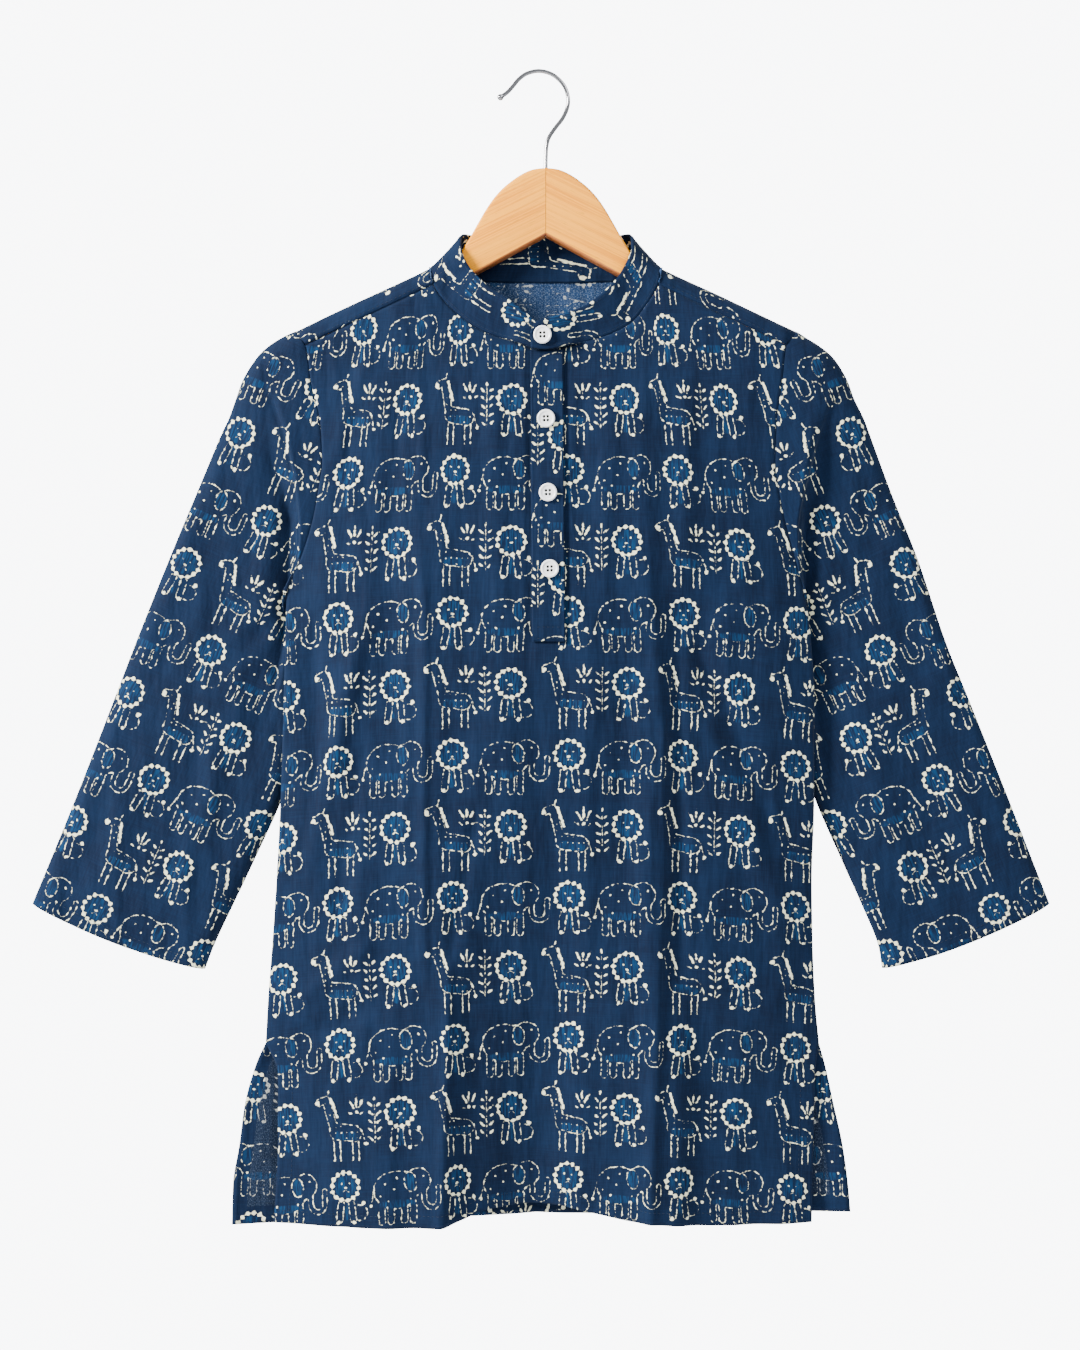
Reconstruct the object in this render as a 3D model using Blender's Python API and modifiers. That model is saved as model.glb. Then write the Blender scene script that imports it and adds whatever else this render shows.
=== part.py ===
"""Child's kurta tunic hanging on a wooden hanger.

Every size is in millimetres and is turned into metres by MM when a mesh is made.
The local frame: +X to the viewer's right, -Y towards the viewer, +Z up, with X = 0 on the
garment's centre line.  The root empty shifts that frame so that the inside top of the
hanger's hook, where the rod carries it, lies at the world origin.
"""
import math

import bmesh
import bpy
import numpy as np

MM = 0.001
ROOT_PLACE = (4.7, 0.0, -1.65)      # garment centre line and table heights, from the hook's seat

# Cloth
CLOTH_WALL = 1.0
COLLAR_WALL = 1.6                   # two layers and an interlining
SEAM_GAP = 0.4
LAYER_GAP = 0.3

# Body: depth of the cloth in front of (+) and behind (+) the hanger's middle plane
SHOULDER_HALF_DEPTH = 9.5           # half the thickness of the fold over the hanger
SHOULDER_FOLD_HEIGHT = 13.0
BELLY_POWER = 2.4                   # how square the panel's cross-section is
SETTLE = 45.0                       # height over which the cloth leaves the hanger's plane
NECK_HALF_WIDTH = 70.5
RIDGE_TOP = -120.0
RIDGE_SLOPE = 0.47
BACK_YOKE_SEAM = -205.0
SLIT_TOP = -606.0
REFERENCE_WIDTH = 165.0             # half width on which the front's columns are laid out

# z, left half width, right half width of the body from shoulder tip to slit
BODY_WIDTH = (
    (-156.0, 158.0, 158.0),
    (-163.0, 155.5, 155.5),
    (-171.0, 149.5, 149.5),
    (-193.0, 146.5, 147.0),
    (-220.0, 140.5, 143.5),
    (-243.0, 139.5, 142.8),
    (-257.0, 141.5, 144.5),
    (-279.0, 145.5, 149.0),
    (-304.0, 153.5, 156.0),
    (-323.0, 162.0, 161.5),
    (-354.0, 163.0, 166.0),
    (-392.0, 164.0, 168.0),
    (-455.0, 166.0, 168.0),
    (-505.0, 168.5, 166.5),
    (-543.0, 171.0, 167.0),
    (-606.0, 173.0, 170.5),
)
# the same below the slit's top, for each panel
FRONT_FLAP_WIDTH = (
    (-606.0, 173.0, 170.5),
    (-625.0, 167.5, 168.5),
    (-665.0, 167.5, 167.5),
    (-730.0, 170.8, 166.0),
)
BACK_FLAP_WIDTH = (
    (-606.0, 173.0, 170.5),
    (-620.0, 180.0, 174.5),
    (-645.0, 188.0, 180.0),
    (-670.0, 192.0, 186.0),
    (-695.0, 196.0, 189.5),
    (-730.0, 197.0, 192.5),
)
# heights of the panels' rows along the armhole, shared by every piece that meets there
ARMHOLE_LEVELS = (-187.0, -205.0, -221.0, -237.0, -253.0, -269.0, -285.0, -300.0, -312.0, -322.6)
FRONT_LOWER_ROWS = 16
BACK_LOWER_ROWS = 14
CROWN_STEPS = 3                     # rows from the ridge down each side of the shoulder fold

# z, front centre depth, back centre depth
CENTRE_DEPTH = (
    (-120.0, 12.0, 9.5),
    (-172.0, 17.0, 11.0),
    (-230.0, 19.5, 12.0),
    (-330.0, 21.0, 13.0),
    (-450.0, 21.0, 13.0),
    (-600.0, 20.5, 13.5),
    (-730.0, 20.0, 14.0),
)
# z, front depth, back depth along the armhole edge
ARMHOLE_DEPTH = (
    (-150.0, 9.5, 9.5),
    (-215.0, 9.0, 9.2),
    (-265.0, 7.6, 7.0),
    (-300.0, 5.6, 2.2),
    (-323.0, 4.15, -1.85),
    (-730.0, 4.15, -1.85),
)
# x, z of the neckline seam in front, from the left shoulder to the right one
NECKLINE = (
    (-70.5, -133.0), (-66.8, -139.0), (-62.3, -144.5), (-52.3, -154.0), (-42.3, -161.0),
    (-30.4, -166.0), (-13.6, -171.0), (-7.0, -173.8), (0.0, -174.6), (10.8, -172.4),
    (22.6, -169.5), (35.7, -165.9), (45.1, -162.2), (54.4, -156.3), (61.3, -147.8),
    (66.4, -140.2), (70.5, -133.0),
)
# x, path length from the yoke's front edge, along the side and back of the neck
BACK_NECK = (
    (-70.5, 0.0), (-71.8, 7.0), (-72.8, 16.0), (-71.0, 23.5), (-64.0, 28.6),
    (-46.0, 30.8), (-16.0, 31.6), (16.0, 31.6), (46.0, 30.8), (64.0, 28.6),
    (71.0, 23.5), (72.8, 16.0), (71.8, 7.0), (70.5, 0.0),
)
# x, z of the hems
FRONT_HEM = (
    (-175.0, -718.2), (-110.0, -718.6), (-68.0, -718.0), (-52.0, -714.0), (-38.0, -709.0),
    (-3.0, -706.0), (34.0, -708.5), (52.0, -713.4), (64.0, -715.6), (110.0, -716.2),
    (175.0, -715.5),
)
BACK_HEM = ((-200.0, -720.5), (-100.0, -719.0), (0.0, -717.5), (100.0, -714.5), (200.0, -711.5))

# Folds of the front and the back: start x, z, end x, z, half width, height at start, at end.
# A positive height stands out from the garment.
FRONT_FOLDS = (
    (-79.0, -290.0, -80.0, -540.0, 8.0, 1.0, 2.6),
    (-52.0, -470.0, -67.0, -730.0, 11.0, 0.5, 5.5),
    (0.0, -440.0, -3.0, -730.0, 46.0, 0.0, -14.0),
    (66.0, -330.0, 66.0, -730.0, 8.0, 2.0, 5.0),
    (83.0, -290.0, 84.0, -600.0, 12.0, -2.5, -2.5),
    (88.0, -300.0, 131.0, -520.0, 10.0, -2.0, -2.5),
    (122.0, -420.0, 150.0, -560.0, 11.0, 1.5, 2.5),
    (-106.0, -320.0, -136.0, -440.0, 9.0, 2.0, 2.5),
    (-145.0, -335.0, -143.0, -460.0, 10.0, -2.0, -2.0),
    (-125.0, -180.0, -124.0, -250.0, 9.0, -2.0, -1.0),
    (55.0, -200.0, 61.0, -340.0, 10.0, 1.5, 2.0),
    (-125.0, -590.0, -120.0, -730.0, 26.0, 1.0, 5.0),
    (112.0, -560.0, 120.0, -730.0, 26.0, -1.0, -5.0),
    (148.0, -640.0, 152.0, -730.0, 12.0, 1.0, 4.0),
)
BACK_FOLDS = (
    (-100.0, -230.0, -104.0, -730.0, 14.0, 1.0, 5.0),
    (-58.0, -240.0, -52.0, -730.0, 18.0, -1.5, -4.0),
    (-8.0, -260.0, -6.0, -730.0, 14.0, 2.0, 5.0),
    (42.0, -250.0, 46.0, -730.0, 18.0, -1.5, -4.5),
    (92.0, -230.0, 98.0, -730.0, 14.0, 1.5, 5.0),
    (-146.0, -640.0, -150.0, -730.0, 14.0, -0.5, -3.0),
    (140.0, -640.0, 146.0, -730.0, 14.0, -0.5, -3.0),
)

# Sleeves: the upper edge and the underarm edge, from armhole to cuff
SLEEVE_TOP = {
    "left": (
        (-157.8, -160.8), (-166.0, -164.8), (-174.5, -170.3), (-181.7, -177.4),
        (-189.9, -190.0), (-194.8, -202.5), (-199.6, -215.0), (-206.0, -228.0),
        (-222.1, -265.6), (-237.9, -303.5), (-258.1, -354.0), (-272.6, -391.9),
        (-297.2, -455.0), (-323.8, -520.1),
    ),
    "right": (
        (157.8, -160.8), (163.0, -164.4), (171.5, -169.6), (180.8, -177.4),
        (189.0, -190.0), (194.0, -202.5), (200.4, -215.0), (205.5, -228.0),
        (219.9, -265.6), (235.1, -303.5), (252.1, -354.0), (267.3, -391.9),
        (292.5, -455.0), (317.8, -520.1),
    ),
}
SLEEVE_UNDER = {
    "left": (
        (-162.8, -322.6), (-164.4, -330.0), (-164.8, -340.0), (-160.5, -354.0),
        (-155.5, -380.0), (-156.5, -420.0), (-165.5, -452.0), (-184.0, -493.2),
        (-196.0, -518.5), (-208.0, -543.8), (-215.0, -561.5),
    ),
    "right": (
        (161.8, -322.6), (163.6, -330.0), (165.2, -340.0), (162.5, -354.0),
        (159.0, -380.0), (160.0, -420.0), (169.0, -452.0), (186.9, -493.2),
        (198.3, -518.5), (209.0, -543.8), (212.4, -561.0),
    ),
}
SLEEVE_MIDDLE = 8.0                 # depth of the sleeve's middle plane behind the hanger's
SLEEVE_HALF_DEPTH = 6.2
SLEEVE_EDGE = 13.0                  # width of the rounding at the sleeve's edges
SLEEVE_CREASE = (0.075, 0.135)      # part of the sleeve's length where its front steps back
UNDERARM_CREASE = (0.020, 0.066)    # the same along the underarm edge
UNDERARM_HOLD = (0.03, 0.07)        # past the crease, the stretch over which it slips behind
UNDERARM_PARTING = 0.9              # how far the sleeve spreads past the side seam at its foot
UNDERARM_MARGIN = 1.7                # room between the side seam and the sleeve before the crease
CUFF_SAG = 4.5

# Collar band: seam x, y, z and top edge x, y, z, from its under end round the back to its upper
COLLAR = (
    (9.0, -15.2, -172.4, 7.0, -16.4, -160.0),
    (-3.0, -15.4, -173.6, -3.5, -16.6, -158.6),
    (-13.6, -15.2, -170.6, -11.1, -16.4, -152.6),
    (-30.4, -14.4, -165.6, -24.0, -15.8, -142.4),
    (-42.3, -13.4, -160.6, -33.0, -14.8, -136.6),
    (-52.3, -12.0, -153.6, -41.0, -13.2, -130.8),
    (-62.3, -10.4, -144.1, -48.0, -11.0, -123.6),
    (-70.2, -9.1, -133.4, -52.4, -9.4, -114.0),
    (-72.5, -4.6, -121.9, -53.6, -4.6, -106.6),
    (-72.2, 0.4, -120.2, -53.0, 1.6, -101.6),
    (-70.0, 5.2, -121.4, -49.0, 7.4, -100.2),
    (-61.0, 7.6, -124.2, -40.0, 9.6, -101.0),
    (-40.0, 8.4, -125.6, -25.0, 10.0, -102.6),
    (0.0, 8.6, -126.0, 0.0, 10.2, -103.4),
    (40.0, 8.4, -125.6, 25.0, 10.0, -102.6),
    (61.0, 7.6, -124.2, 40.0, 9.6, -101.0),
    (70.0, 5.2, -121.4, 49.2, 7.4, -100.2),
    (72.2, 0.4, -120.2, 53.4, 1.6, -101.6),
    (72.2, -4.6, -121.9, 54.0, -4.6, -106.8),
    (69.7, -9.1, -133.8, 52.8, -9.4, -115.0),
    (61.6, -10.6, -147.2, 46.4, -11.2, -128.0),
    (54.5, -12.2, -155.8, 39.6, -13.6, -135.6),
    (45.1, -13.8, -161.8, 31.0, -15.4, -142.4),
    (35.7, -15.2, -165.5, 24.5, -16.6, -147.0),
    (22.6, -17.0, -169.0, 15.1, -17.9, -151.2),
    (10.8, -18.2, -171.8, 4.0, -18.7, -154.4),
    (-1.0, -18.6, -173.9, -3.4, -18.8, -156.2),
    (-9.4, -18.6, -174.0, -9.4, -18.8, -157.4),
)
COLLAR_CORNER = 6.5
COLLAR_END_FACE = -18.75             # depth of the collar's front face at its upper end
COLLAR_LAP_REACH = 20.0

# Placket
PLACKET_TOP = -175.4
PLACKET_TOP_CENTRE = 0.5
PLACKET_FOOT_CENTRE = 1.7
PLACKET_WIDTH = 20.0
PLACKET_FOOT = -355.5
NOTCH_LEFT = -6.0
NOTCH_RIGHT = 8.0
NOTCH_FOOT = -349.0
UNDERLAP_WIDTH = 17.0

# Buttons: x, z
BUTTONS = ((-2.1, -165.7), (0.1, -217.4), (1.3, -263.3), (2.4, -310.4))
BUTTON_RADIUS = 5.6
BUTTON_THICKNESS = 2.2
BUTTON_RIM = 1.1
BUTTON_DISH = 0.6
BUTTON_HOLE_RADIUS = 0.65
BUTTON_HOLE_SPACING = 1.25

# Hanger
HANGER_DEPTH = 11.0
HANGER_EDGE = 4.5
HANGER_HALF_SPAN = 160.0
HANGER_END_RADIUS = 9.5
HANGER_UNDER_TOP = -100.8
HANGER_UNDER_SLOPE = 0.548
HANGER_CLEARANCE = 2.5
HANGER_JOINT = 0.15
HANGER_CREST = (
    (0.0, -58.5), (8.0, -59.6), (14.5, -62.4), (20.5, -66.4), (26.5, -71.4), (32.0, -77.6),
    (37.0, -85.0), (42.0, -93.6), (47.0, -102.6), (52.5, -111.4),
    (57.5, -117.8), (63.5, -122.2),
)
WIRE_RADIUS = 1.25
WIRE_BORE_DEPTH = 16.0
WIRE_BORE_SLACK = 0.35
WIRE_BORE_SIDES = 16
HOOK_ROUTE = (
    (-28.2, -13.0), (-23.9, -10.4), (-20.2, -6.2), (-16.8, -2.2), (-11.8, 1.3), (-4.7, 2.9),
    (2.4, 1.5), (7.7, -1.9), (11.9, -6.9), (14.0, -13.5), (13.6, -20.0), (10.6, -26.8),
    (5.8, -33.1), (2.0, -38.9), (0.5, -44.5), (0.1, -51.0), (0.0, -57.5), (0.0, -73.3),
)
HOOK_BALL_RADIUS = 2.0

# Colours: base colour, roughness, metallic
INDIGO = ((0.011, 0.045, 0.120), 0.85, 0.0)
INDIGO_SLEEVE = ((0.012, 0.050, 0.130), 0.85, 0.0)
INDIGO_YOKE = ((0.010, 0.040, 0.105), 0.85, 0.0)
INDIGO_BAND = ((0.014, 0.055, 0.145), 0.85, 0.0)
BUTTON_WHITE = ((0.86, 0.86, 0.84), 0.35, 0.0)
BEECH = ((0.72, 0.42, 0.17), 0.45, 0.0)
STEEL = ((0.62, 0.63, 0.65), 0.22, 1.0)


def column(table, key, value):
    """Reads one column of a table at key, with a shape-keeping cubic between its rows."""
    rows = sorted(table)
    x = np.array([row[0] for row in rows])
    y = np.array([row[value] for row in rows])
    step = np.diff(x)
    slope = np.diff(y) / step
    tangent = np.zeros_like(y)
    tangent[0] = slope[0]
    tangent[-1] = slope[-1]
    same_way = slope[:-1] * slope[1:] > 0
    mean = 2 * slope[:-1] * slope[1:] / np.where(same_way, slope[:-1] + slope[1:], 1.0)
    tangent[1:-1] = np.where(same_way, mean, 0.0)
    key = np.clip(np.asarray(key, dtype=float), x[0], x[-1])
    i = np.clip(np.searchsorted(x, key) - 1, 0, len(x) - 2)
    t = (key - x[i]) / step[i]
    return (y[i] * (1 + 2 * t) * (1 - t) ** 2 + y[i + 1] * t * t * (3 - 2 * t)
            + step[i] * (tangent[i] * t * (1 - t) ** 2 + tangent[i + 1] * t * t * (t - 1)))


def path_points(route, fractions, power=1.0):
    """Points of a smooth route at fractions of its length (Catmull-Rom through its points)."""
    points = np.array(route, dtype=float)
    ends = np.vstack((2 * points[0] - points[1], points, 2 * points[-1] - points[-2]))
    t = np.linspace(0.0, 1.0, 9)[:-1, None]
    fine = []
    for a, b, c, d in zip(ends, ends[1:], ends[2:], ends[3:]):
        fine.append(0.5 * (2 * b + (c - a) * t + (2 * a - 5 * b + 4 * c - d) * t ** 2
                           + (3 * b - a - 3 * c + d) * t ** 3))
    fine = np.vstack(fine + [points[-1:]])
    length = np.concatenate(([0.0], np.cumsum(np.linalg.norm(np.diff(fine, axis=0), axis=1))))
    at = np.asarray(fractions) ** power * length[-1]
    return np.stack([np.interp(at, length, fine[:, k]) for k in range(points.shape[1])], axis=-1)


def smoothstep(low, high, value):
    t = np.clip((value - low) / (high - low), 0.0, 1.0)
    return t * t * (3 - 2 * t)


def ridge(x):
    """Height of the shoulder line over the hanger."""
    return RIDGE_TOP - RIDGE_SLOPE * np.maximum(0.0, np.abs(x) - NECK_HALF_WIDTH)


def shoulder_foot(x):
    """Height at which the shoulder fold ends, in front and behind."""
    return ridge(x) - SHOULDER_FOLD_HEIGHT


def half_width(x_sign, z, flap):
    """Half width of a panel at height z; flap is its table below the slit's top."""
    side = np.where(np.asarray(x_sign) < 0, 1, 2)
    body = np.where(side == 1, column(BODY_WIDTH, z, 1), column(BODY_WIDTH, z, 2))
    below = np.where(side == 1, column(flap, z, 1), column(flap, z, 2))
    return np.where(np.asarray(z) < SLIT_TOP, below, body)


def fold_height(folds, x, z):
    """Sum of the soft ridges and troughs of a fold table at x, z."""
    total = np.zeros(np.broadcast(x, z).shape)
    for x0, z0, x1, z1, half, first, last in folds:
        run = np.array((x1 - x0, z1 - z0))
        length = np.hypot(*run)
        along = ((x - x0) * run[0] + (z - z0) * run[1]) / length ** 2
        across = ((x - x0) * run[1] - (z - z0) * run[0]) / length
        fade = smoothstep(-0.05, 0.15, along) * (1 - smoothstep(0.9, 1.1, along))
        height = first + (last - first) * np.clip(along, 0.0, 1.0)
        total = total + height * fade * np.exp(-(across / half) ** 2)
    return total


def panel_depth(x, z, side):
    """Depth of a panel's outer face from the hanger's plane: side 1 is the front, 2 the back."""
    flap = FRONT_FLAP_WIDTH if side == 1 else BACK_FLAP_WIDTH
    folds = FRONT_FOLDS if side == 1 else BACK_FOLDS
    reach = np.clip(np.abs(x) / half_width(x, z, flap), 0.0, 1.0)
    edge = column(ARMHOLE_DEPTH, z, side)
    centre = column(CENTRE_DEPTH, z, side)
    settled = 1 - np.exp(-np.maximum(0.0, shoulder_foot(x) - z) / SETTLE)
    depth = edge + (centre - edge) * (1 - reach ** BELLY_POWER) * settled
    return depth + fold_height(folds, x, z) * (1 - reach ** 6) * settled


def front_y(x, z):
    return -panel_depth(x, z, 1)


def back_y(x, z):
    return panel_depth(x, z, 2)


FOLD_PATH = math.pi * math.sqrt((SHOULDER_HALF_DEPTH ** 2 + SHOULDER_FOLD_HEIGHT ** 2) / 2)


def shoulder_point(x, path):
    """Point of the yoke at x, path millimetres from its front seam over the ridge."""
    angle = np.clip(path / FOLD_PATH, 0.0, 1.0) * math.pi - math.pi / 2
    foot = shoulder_foot(x)
    z = foot + SHOULDER_FOLD_HEIGHT * np.cos(angle) - np.maximum(0.0, path - FOLD_PATH)
    over = SHOULDER_HALF_DEPTH * np.sin(angle)
    y = np.where(path < FOLD_PATH, over, back_y(x, z))
    return np.stack((x, y, z), axis=-1)


def make_material(name, look):
    colour, roughness, metallic = look
    material = bpy.data.materials.new(name)
    material.use_nodes = True
    shader = material.node_tree.nodes["Principled BSDF"]
    shader.inputs["Base Color"].default_value = (*colour, 1.0)
    shader.inputs["Roughness"].default_value = roughness
    shader.inputs["Metallic"].default_value = metallic
    material.diffuse_color = (*colour, 1.0)
    return material


def add_object(name, mesh, look, collection, root):
    obj = bpy.data.objects.new(name, mesh)
    collection.objects.link(obj)
    obj.parent = root
    if look:
        mesh.materials.append(make_material(name + "_material", look))
    return obj


def grid_mesh(name, points, closed=False, skip=()):
    """Mesh of a grid of points, rows by columns; closed joins the last column to the first."""
    rows, columns = points.shape[:2]
    vertices = (points.reshape(-1, 3) * MM).tolist()
    faces = []
    for i in range(rows - 1):
        for j in range(columns if closed else columns - 1):
            if (i, j) in skip:
                continue
            k = (j + 1) % columns
            faces.append((i * columns + j, (i + 1) * columns + j,
                          (i + 1) * columns + k, i * columns + k))
    mesh = bpy.data.meshes.new(name)
    mesh.from_pydata(vertices, [], faces)
    bm = bmesh.new()
    bm.from_mesh(mesh)
    loose = [v for v in bm.verts if not v.link_faces]
    bmesh.ops.delete(bm, geom=loose, context="VERTS")
    bm.to_mesh(mesh)
    bm.free()
    mesh.shade_smooth()
    return mesh


def thicken(obj, wall):
    solidify = obj.modifiers.new("Wall", "SOLIDIFY")
    solidify.thickness = wall * MM
    solidify.offset = -1.0
    solidify.use_even_offset = False
    return obj


def spread(start, end, count):
    return np.linspace(start, end, count)


def panel_columns():
    """Fractions of the half width where the front's columns stand, the notch's edges included."""
    inner = (0.0, 10.0, 22.0, 34.0, 45.0, 54.0, 60.0)
    outer = (NECK_HALF_WIDTH, 82.0, 96.0, 110.0, 124.0, 138.0, 152.0, REFERENCE_WIDTH)
    left = [NOTCH_LEFT - step for step in inner] + [-x for x in outer]
    right = [NOTCH_RIGHT + step * 0.97 for step in inner] + list(outer)
    middle = [(NOTCH_LEFT + NOTCH_RIGHT) / 2]
    return np.array(left[::-1] + middle + right) / REFERENCE_WIDTH


def column_x(share, z, flap):
    """Columns keep their place near the middle and follow the panel's edge further out."""
    stretch = half_width(share, z, flap) - REFERENCE_WIDTH
    return share * REFERENCE_WIDTH + np.sign(share) * stretch * smoothstep(0.45, 1.0, np.abs(share))


def front_top(x):
    """Height of the front's upper edge: the yoke's seam outside, the neckline inside."""
    neck = column(NECKLINE, x, 1)
    yoke = shoulder_foot(x)
    inside = (x > NECKLINE[0][0]) & (x < NECKLINE[-1][0])
    return np.where(inside, neck, yoke) - SEAM_GAP


def front_grid():
    shares = panel_columns()
    x = column_x(shares, np.full(shares.shape, -170.0), FRONT_FLAP_WIDTH)
    for _ in range(6):
        x = column_x(shares, front_top(x), FRONT_FLAP_WIDTH)
    top = front_top(x)
    hem = column(FRONT_HEM, shares * REFERENCE_WIDTH, 1)
    levels = [level for level in ARMHOLE_LEVELS] + [NOTCH_FOOT]
    upper_share = (np.array([top[0]] + levels) - top[0]) / (NOTCH_FOOT - top[0])
    lower_share = spread(0.0, 1.0, FRONT_LOWER_ROWS + 1)[1:]
    upper = top + (NOTCH_FOOT - top) * upper_share[:, None]
    lower = NOTCH_FOOT + (hem - NOTCH_FOOT) * lower_share[:, None]
    z = np.concatenate((upper, lower))
    shares = np.broadcast_to(shares, z.shape)
    x = column_x(shares, z, FRONT_FLAP_WIDTH)
    return np.stack((x, front_y(x, z), z), axis=-1), len(levels)


def make_front(collection, root):
    points, notch_row = front_grid()
    columns = points.shape[1]
    middle = columns // 2
    skip = {(i, j) for i in range(notch_row) for j in (middle - 1, middle)}
    mesh = grid_mesh("front", points, skip=skip)
    return thicken(add_object("front", mesh, INDIGO, collection, root), CLOTH_WALL)


def make_back(collection, root):
    even = spread(-1.0, 1.0, 23)
    shares = np.sin(even * math.pi / 2) * 0.35 + even * 0.65
    hem = column(BACK_HEM, shares * 195.0, 1)
    levels = [BACK_YOKE_SEAM - SEAM_GAP] + [z for z in ARMHOLE_LEVELS if z < BACK_YOKE_SEAM]
    lower_share = spread(0.0, 1.0, BACK_LOWER_ROWS + 1)[1:]
    upper = np.array(levels)[:, None] + 0.0 * hem
    lower = levels[-1] + (hem - levels[-1]) * lower_share[:, None]
    z = np.concatenate((upper, lower))
    shares = np.broadcast_to(shares, z.shape)
    x = shares * half_width(shares, z, BACK_FLAP_WIDTH)
    points = np.stack((x, back_y(x, z), z), axis=-1)[:, ::-1]
    mesh = grid_mesh("back", points)
    return thicken(add_object("back", mesh, INDIGO, collection, root), CLOTH_WALL)


def armhole_x(side, path):
    """x of the yoke's armhole edge at a path length, where the body's width ends it."""
    x = np.full(np.shape(path), 150.0 * side)
    for _ in range(8):
        z = shoulder_point(x, path)[..., 2]
        x = side * half_width(side, z, BACK_FLAP_WIDTH)
    return x


def yoke_end(side):
    """x and path lengths of the yoke's rows along one armhole end."""
    crown = spread(0.0, FOLD_PATH, 2 * CROWN_STEPS + 1)
    levels = np.array([z for z in ARMHOLE_LEVELS if z >= BACK_YOKE_SEAM])
    level_x = side * half_width(side, levels, BACK_FLAP_WIDTH)
    path = np.concatenate((crown, FOLD_PATH + shoulder_foot(level_x) - levels))
    return np.concatenate((armhole_x(side, crown), level_x)), path


def make_yoke(collection, root):
    """The yoke's flat cut, a band with the neck notched out, bent over the hanger."""
    shoulder = spread(0.0, 1.0, 6)[:-1]
    side = len(shoulder)
    bend = path_points(BACK_NECK, spread(0.0, 1.0, 23))
    ends = armhole_x(np.array((-1, 1)), np.zeros(2))
    top_x = np.concatenate((ends[0] + (bend[0, 0] - ends[0]) * shoulder, bend[:, 0],
                            (ends[1] + (bend[-1, 0] - ends[1]) * shoulder)[::-1]))
    top_path = np.concatenate((np.zeros(side), bend[:, 1], np.zeros(side)))
    ends_x, ends_path = zip(yoke_end(-1), yoke_end(1))
    share = (ends_path[0] / ends_path[0][-1])[:, None]
    foot_x = spread(ends_x[0][-1], ends_x[1][-1], len(top_x))
    foot_path = FOLD_PATH + shoulder_foot(foot_x) - BACK_YOKE_SEAM
    path = top_path + (foot_path - top_path) * share
    x = top_x + (foot_x - top_x) * share
    for column_index, end_x, end_path in ((0, ends_x[0], ends_path[0]), (-1, ends_x[1], ends_path[1])):
        path[:, column_index] = end_path
        x[:, column_index] = end_x
    points = shoulder_point(x, path)
    points[-1, :, 2] = BACK_YOKE_SEAM
    inset = slice(side, -side)
    points[0, inset] += neck_inset(points[0, inset], points[1, inset])
    mesh = grid_mesh("yoke", points[::-1])
    return thicken(add_object("yoke", mesh, INDIGO_YOKE, collection, root), CLOTH_WALL)


def neck_inset(edge, inner):
    """Draws the neck edge back by the seam gap, towards the next row."""
    step = inner - edge
    return step / np.linalg.norm(step, axis=-1, keepdims=True) * SEAM_GAP / 2


def edge_round(distance, width):
    """Quarter ellipse: 0 at the edge, 1 from width inwards."""
    t = np.clip(distance / width, 0.0, 1.0)
    return np.sqrt(1 - (1 - t) ** 2)


def armhole_ring(side):
    """The body's armhole edge from ridge to underarm, moved out by the seam gap.

    Returns the share of the height, x, z and the depths of the front and the back edge.
    """
    crown_path = spread(FOLD_PATH / 2, 0.0, CROWN_STEPS + 1)
    crown = shoulder_point(armhole_x(side, crown_path), crown_path)
    levels = np.array(ARMHOLE_LEVELS)
    x = np.concatenate((crown[:, 0], side * half_width(side, levels, FRONT_FLAP_WIDTH)))
    z = np.concatenate((crown[:, 2], levels))
    front = np.concatenate((crown[:, 1], -column(ARMHOLE_DEPTH, levels, 1)))
    back = np.concatenate((-crown[:, 1], column(ARMHOLE_DEPTH, levels, 2)))
    share = (z - z[0]) / (z[-1] - z[0])
    apart = smoothstep(0.86, 1.0, share) * UNDERARM_PARTING
    return share, x + side * (SEAM_GAP + 0.4 * apart), z, front - apart, back + apart


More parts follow.
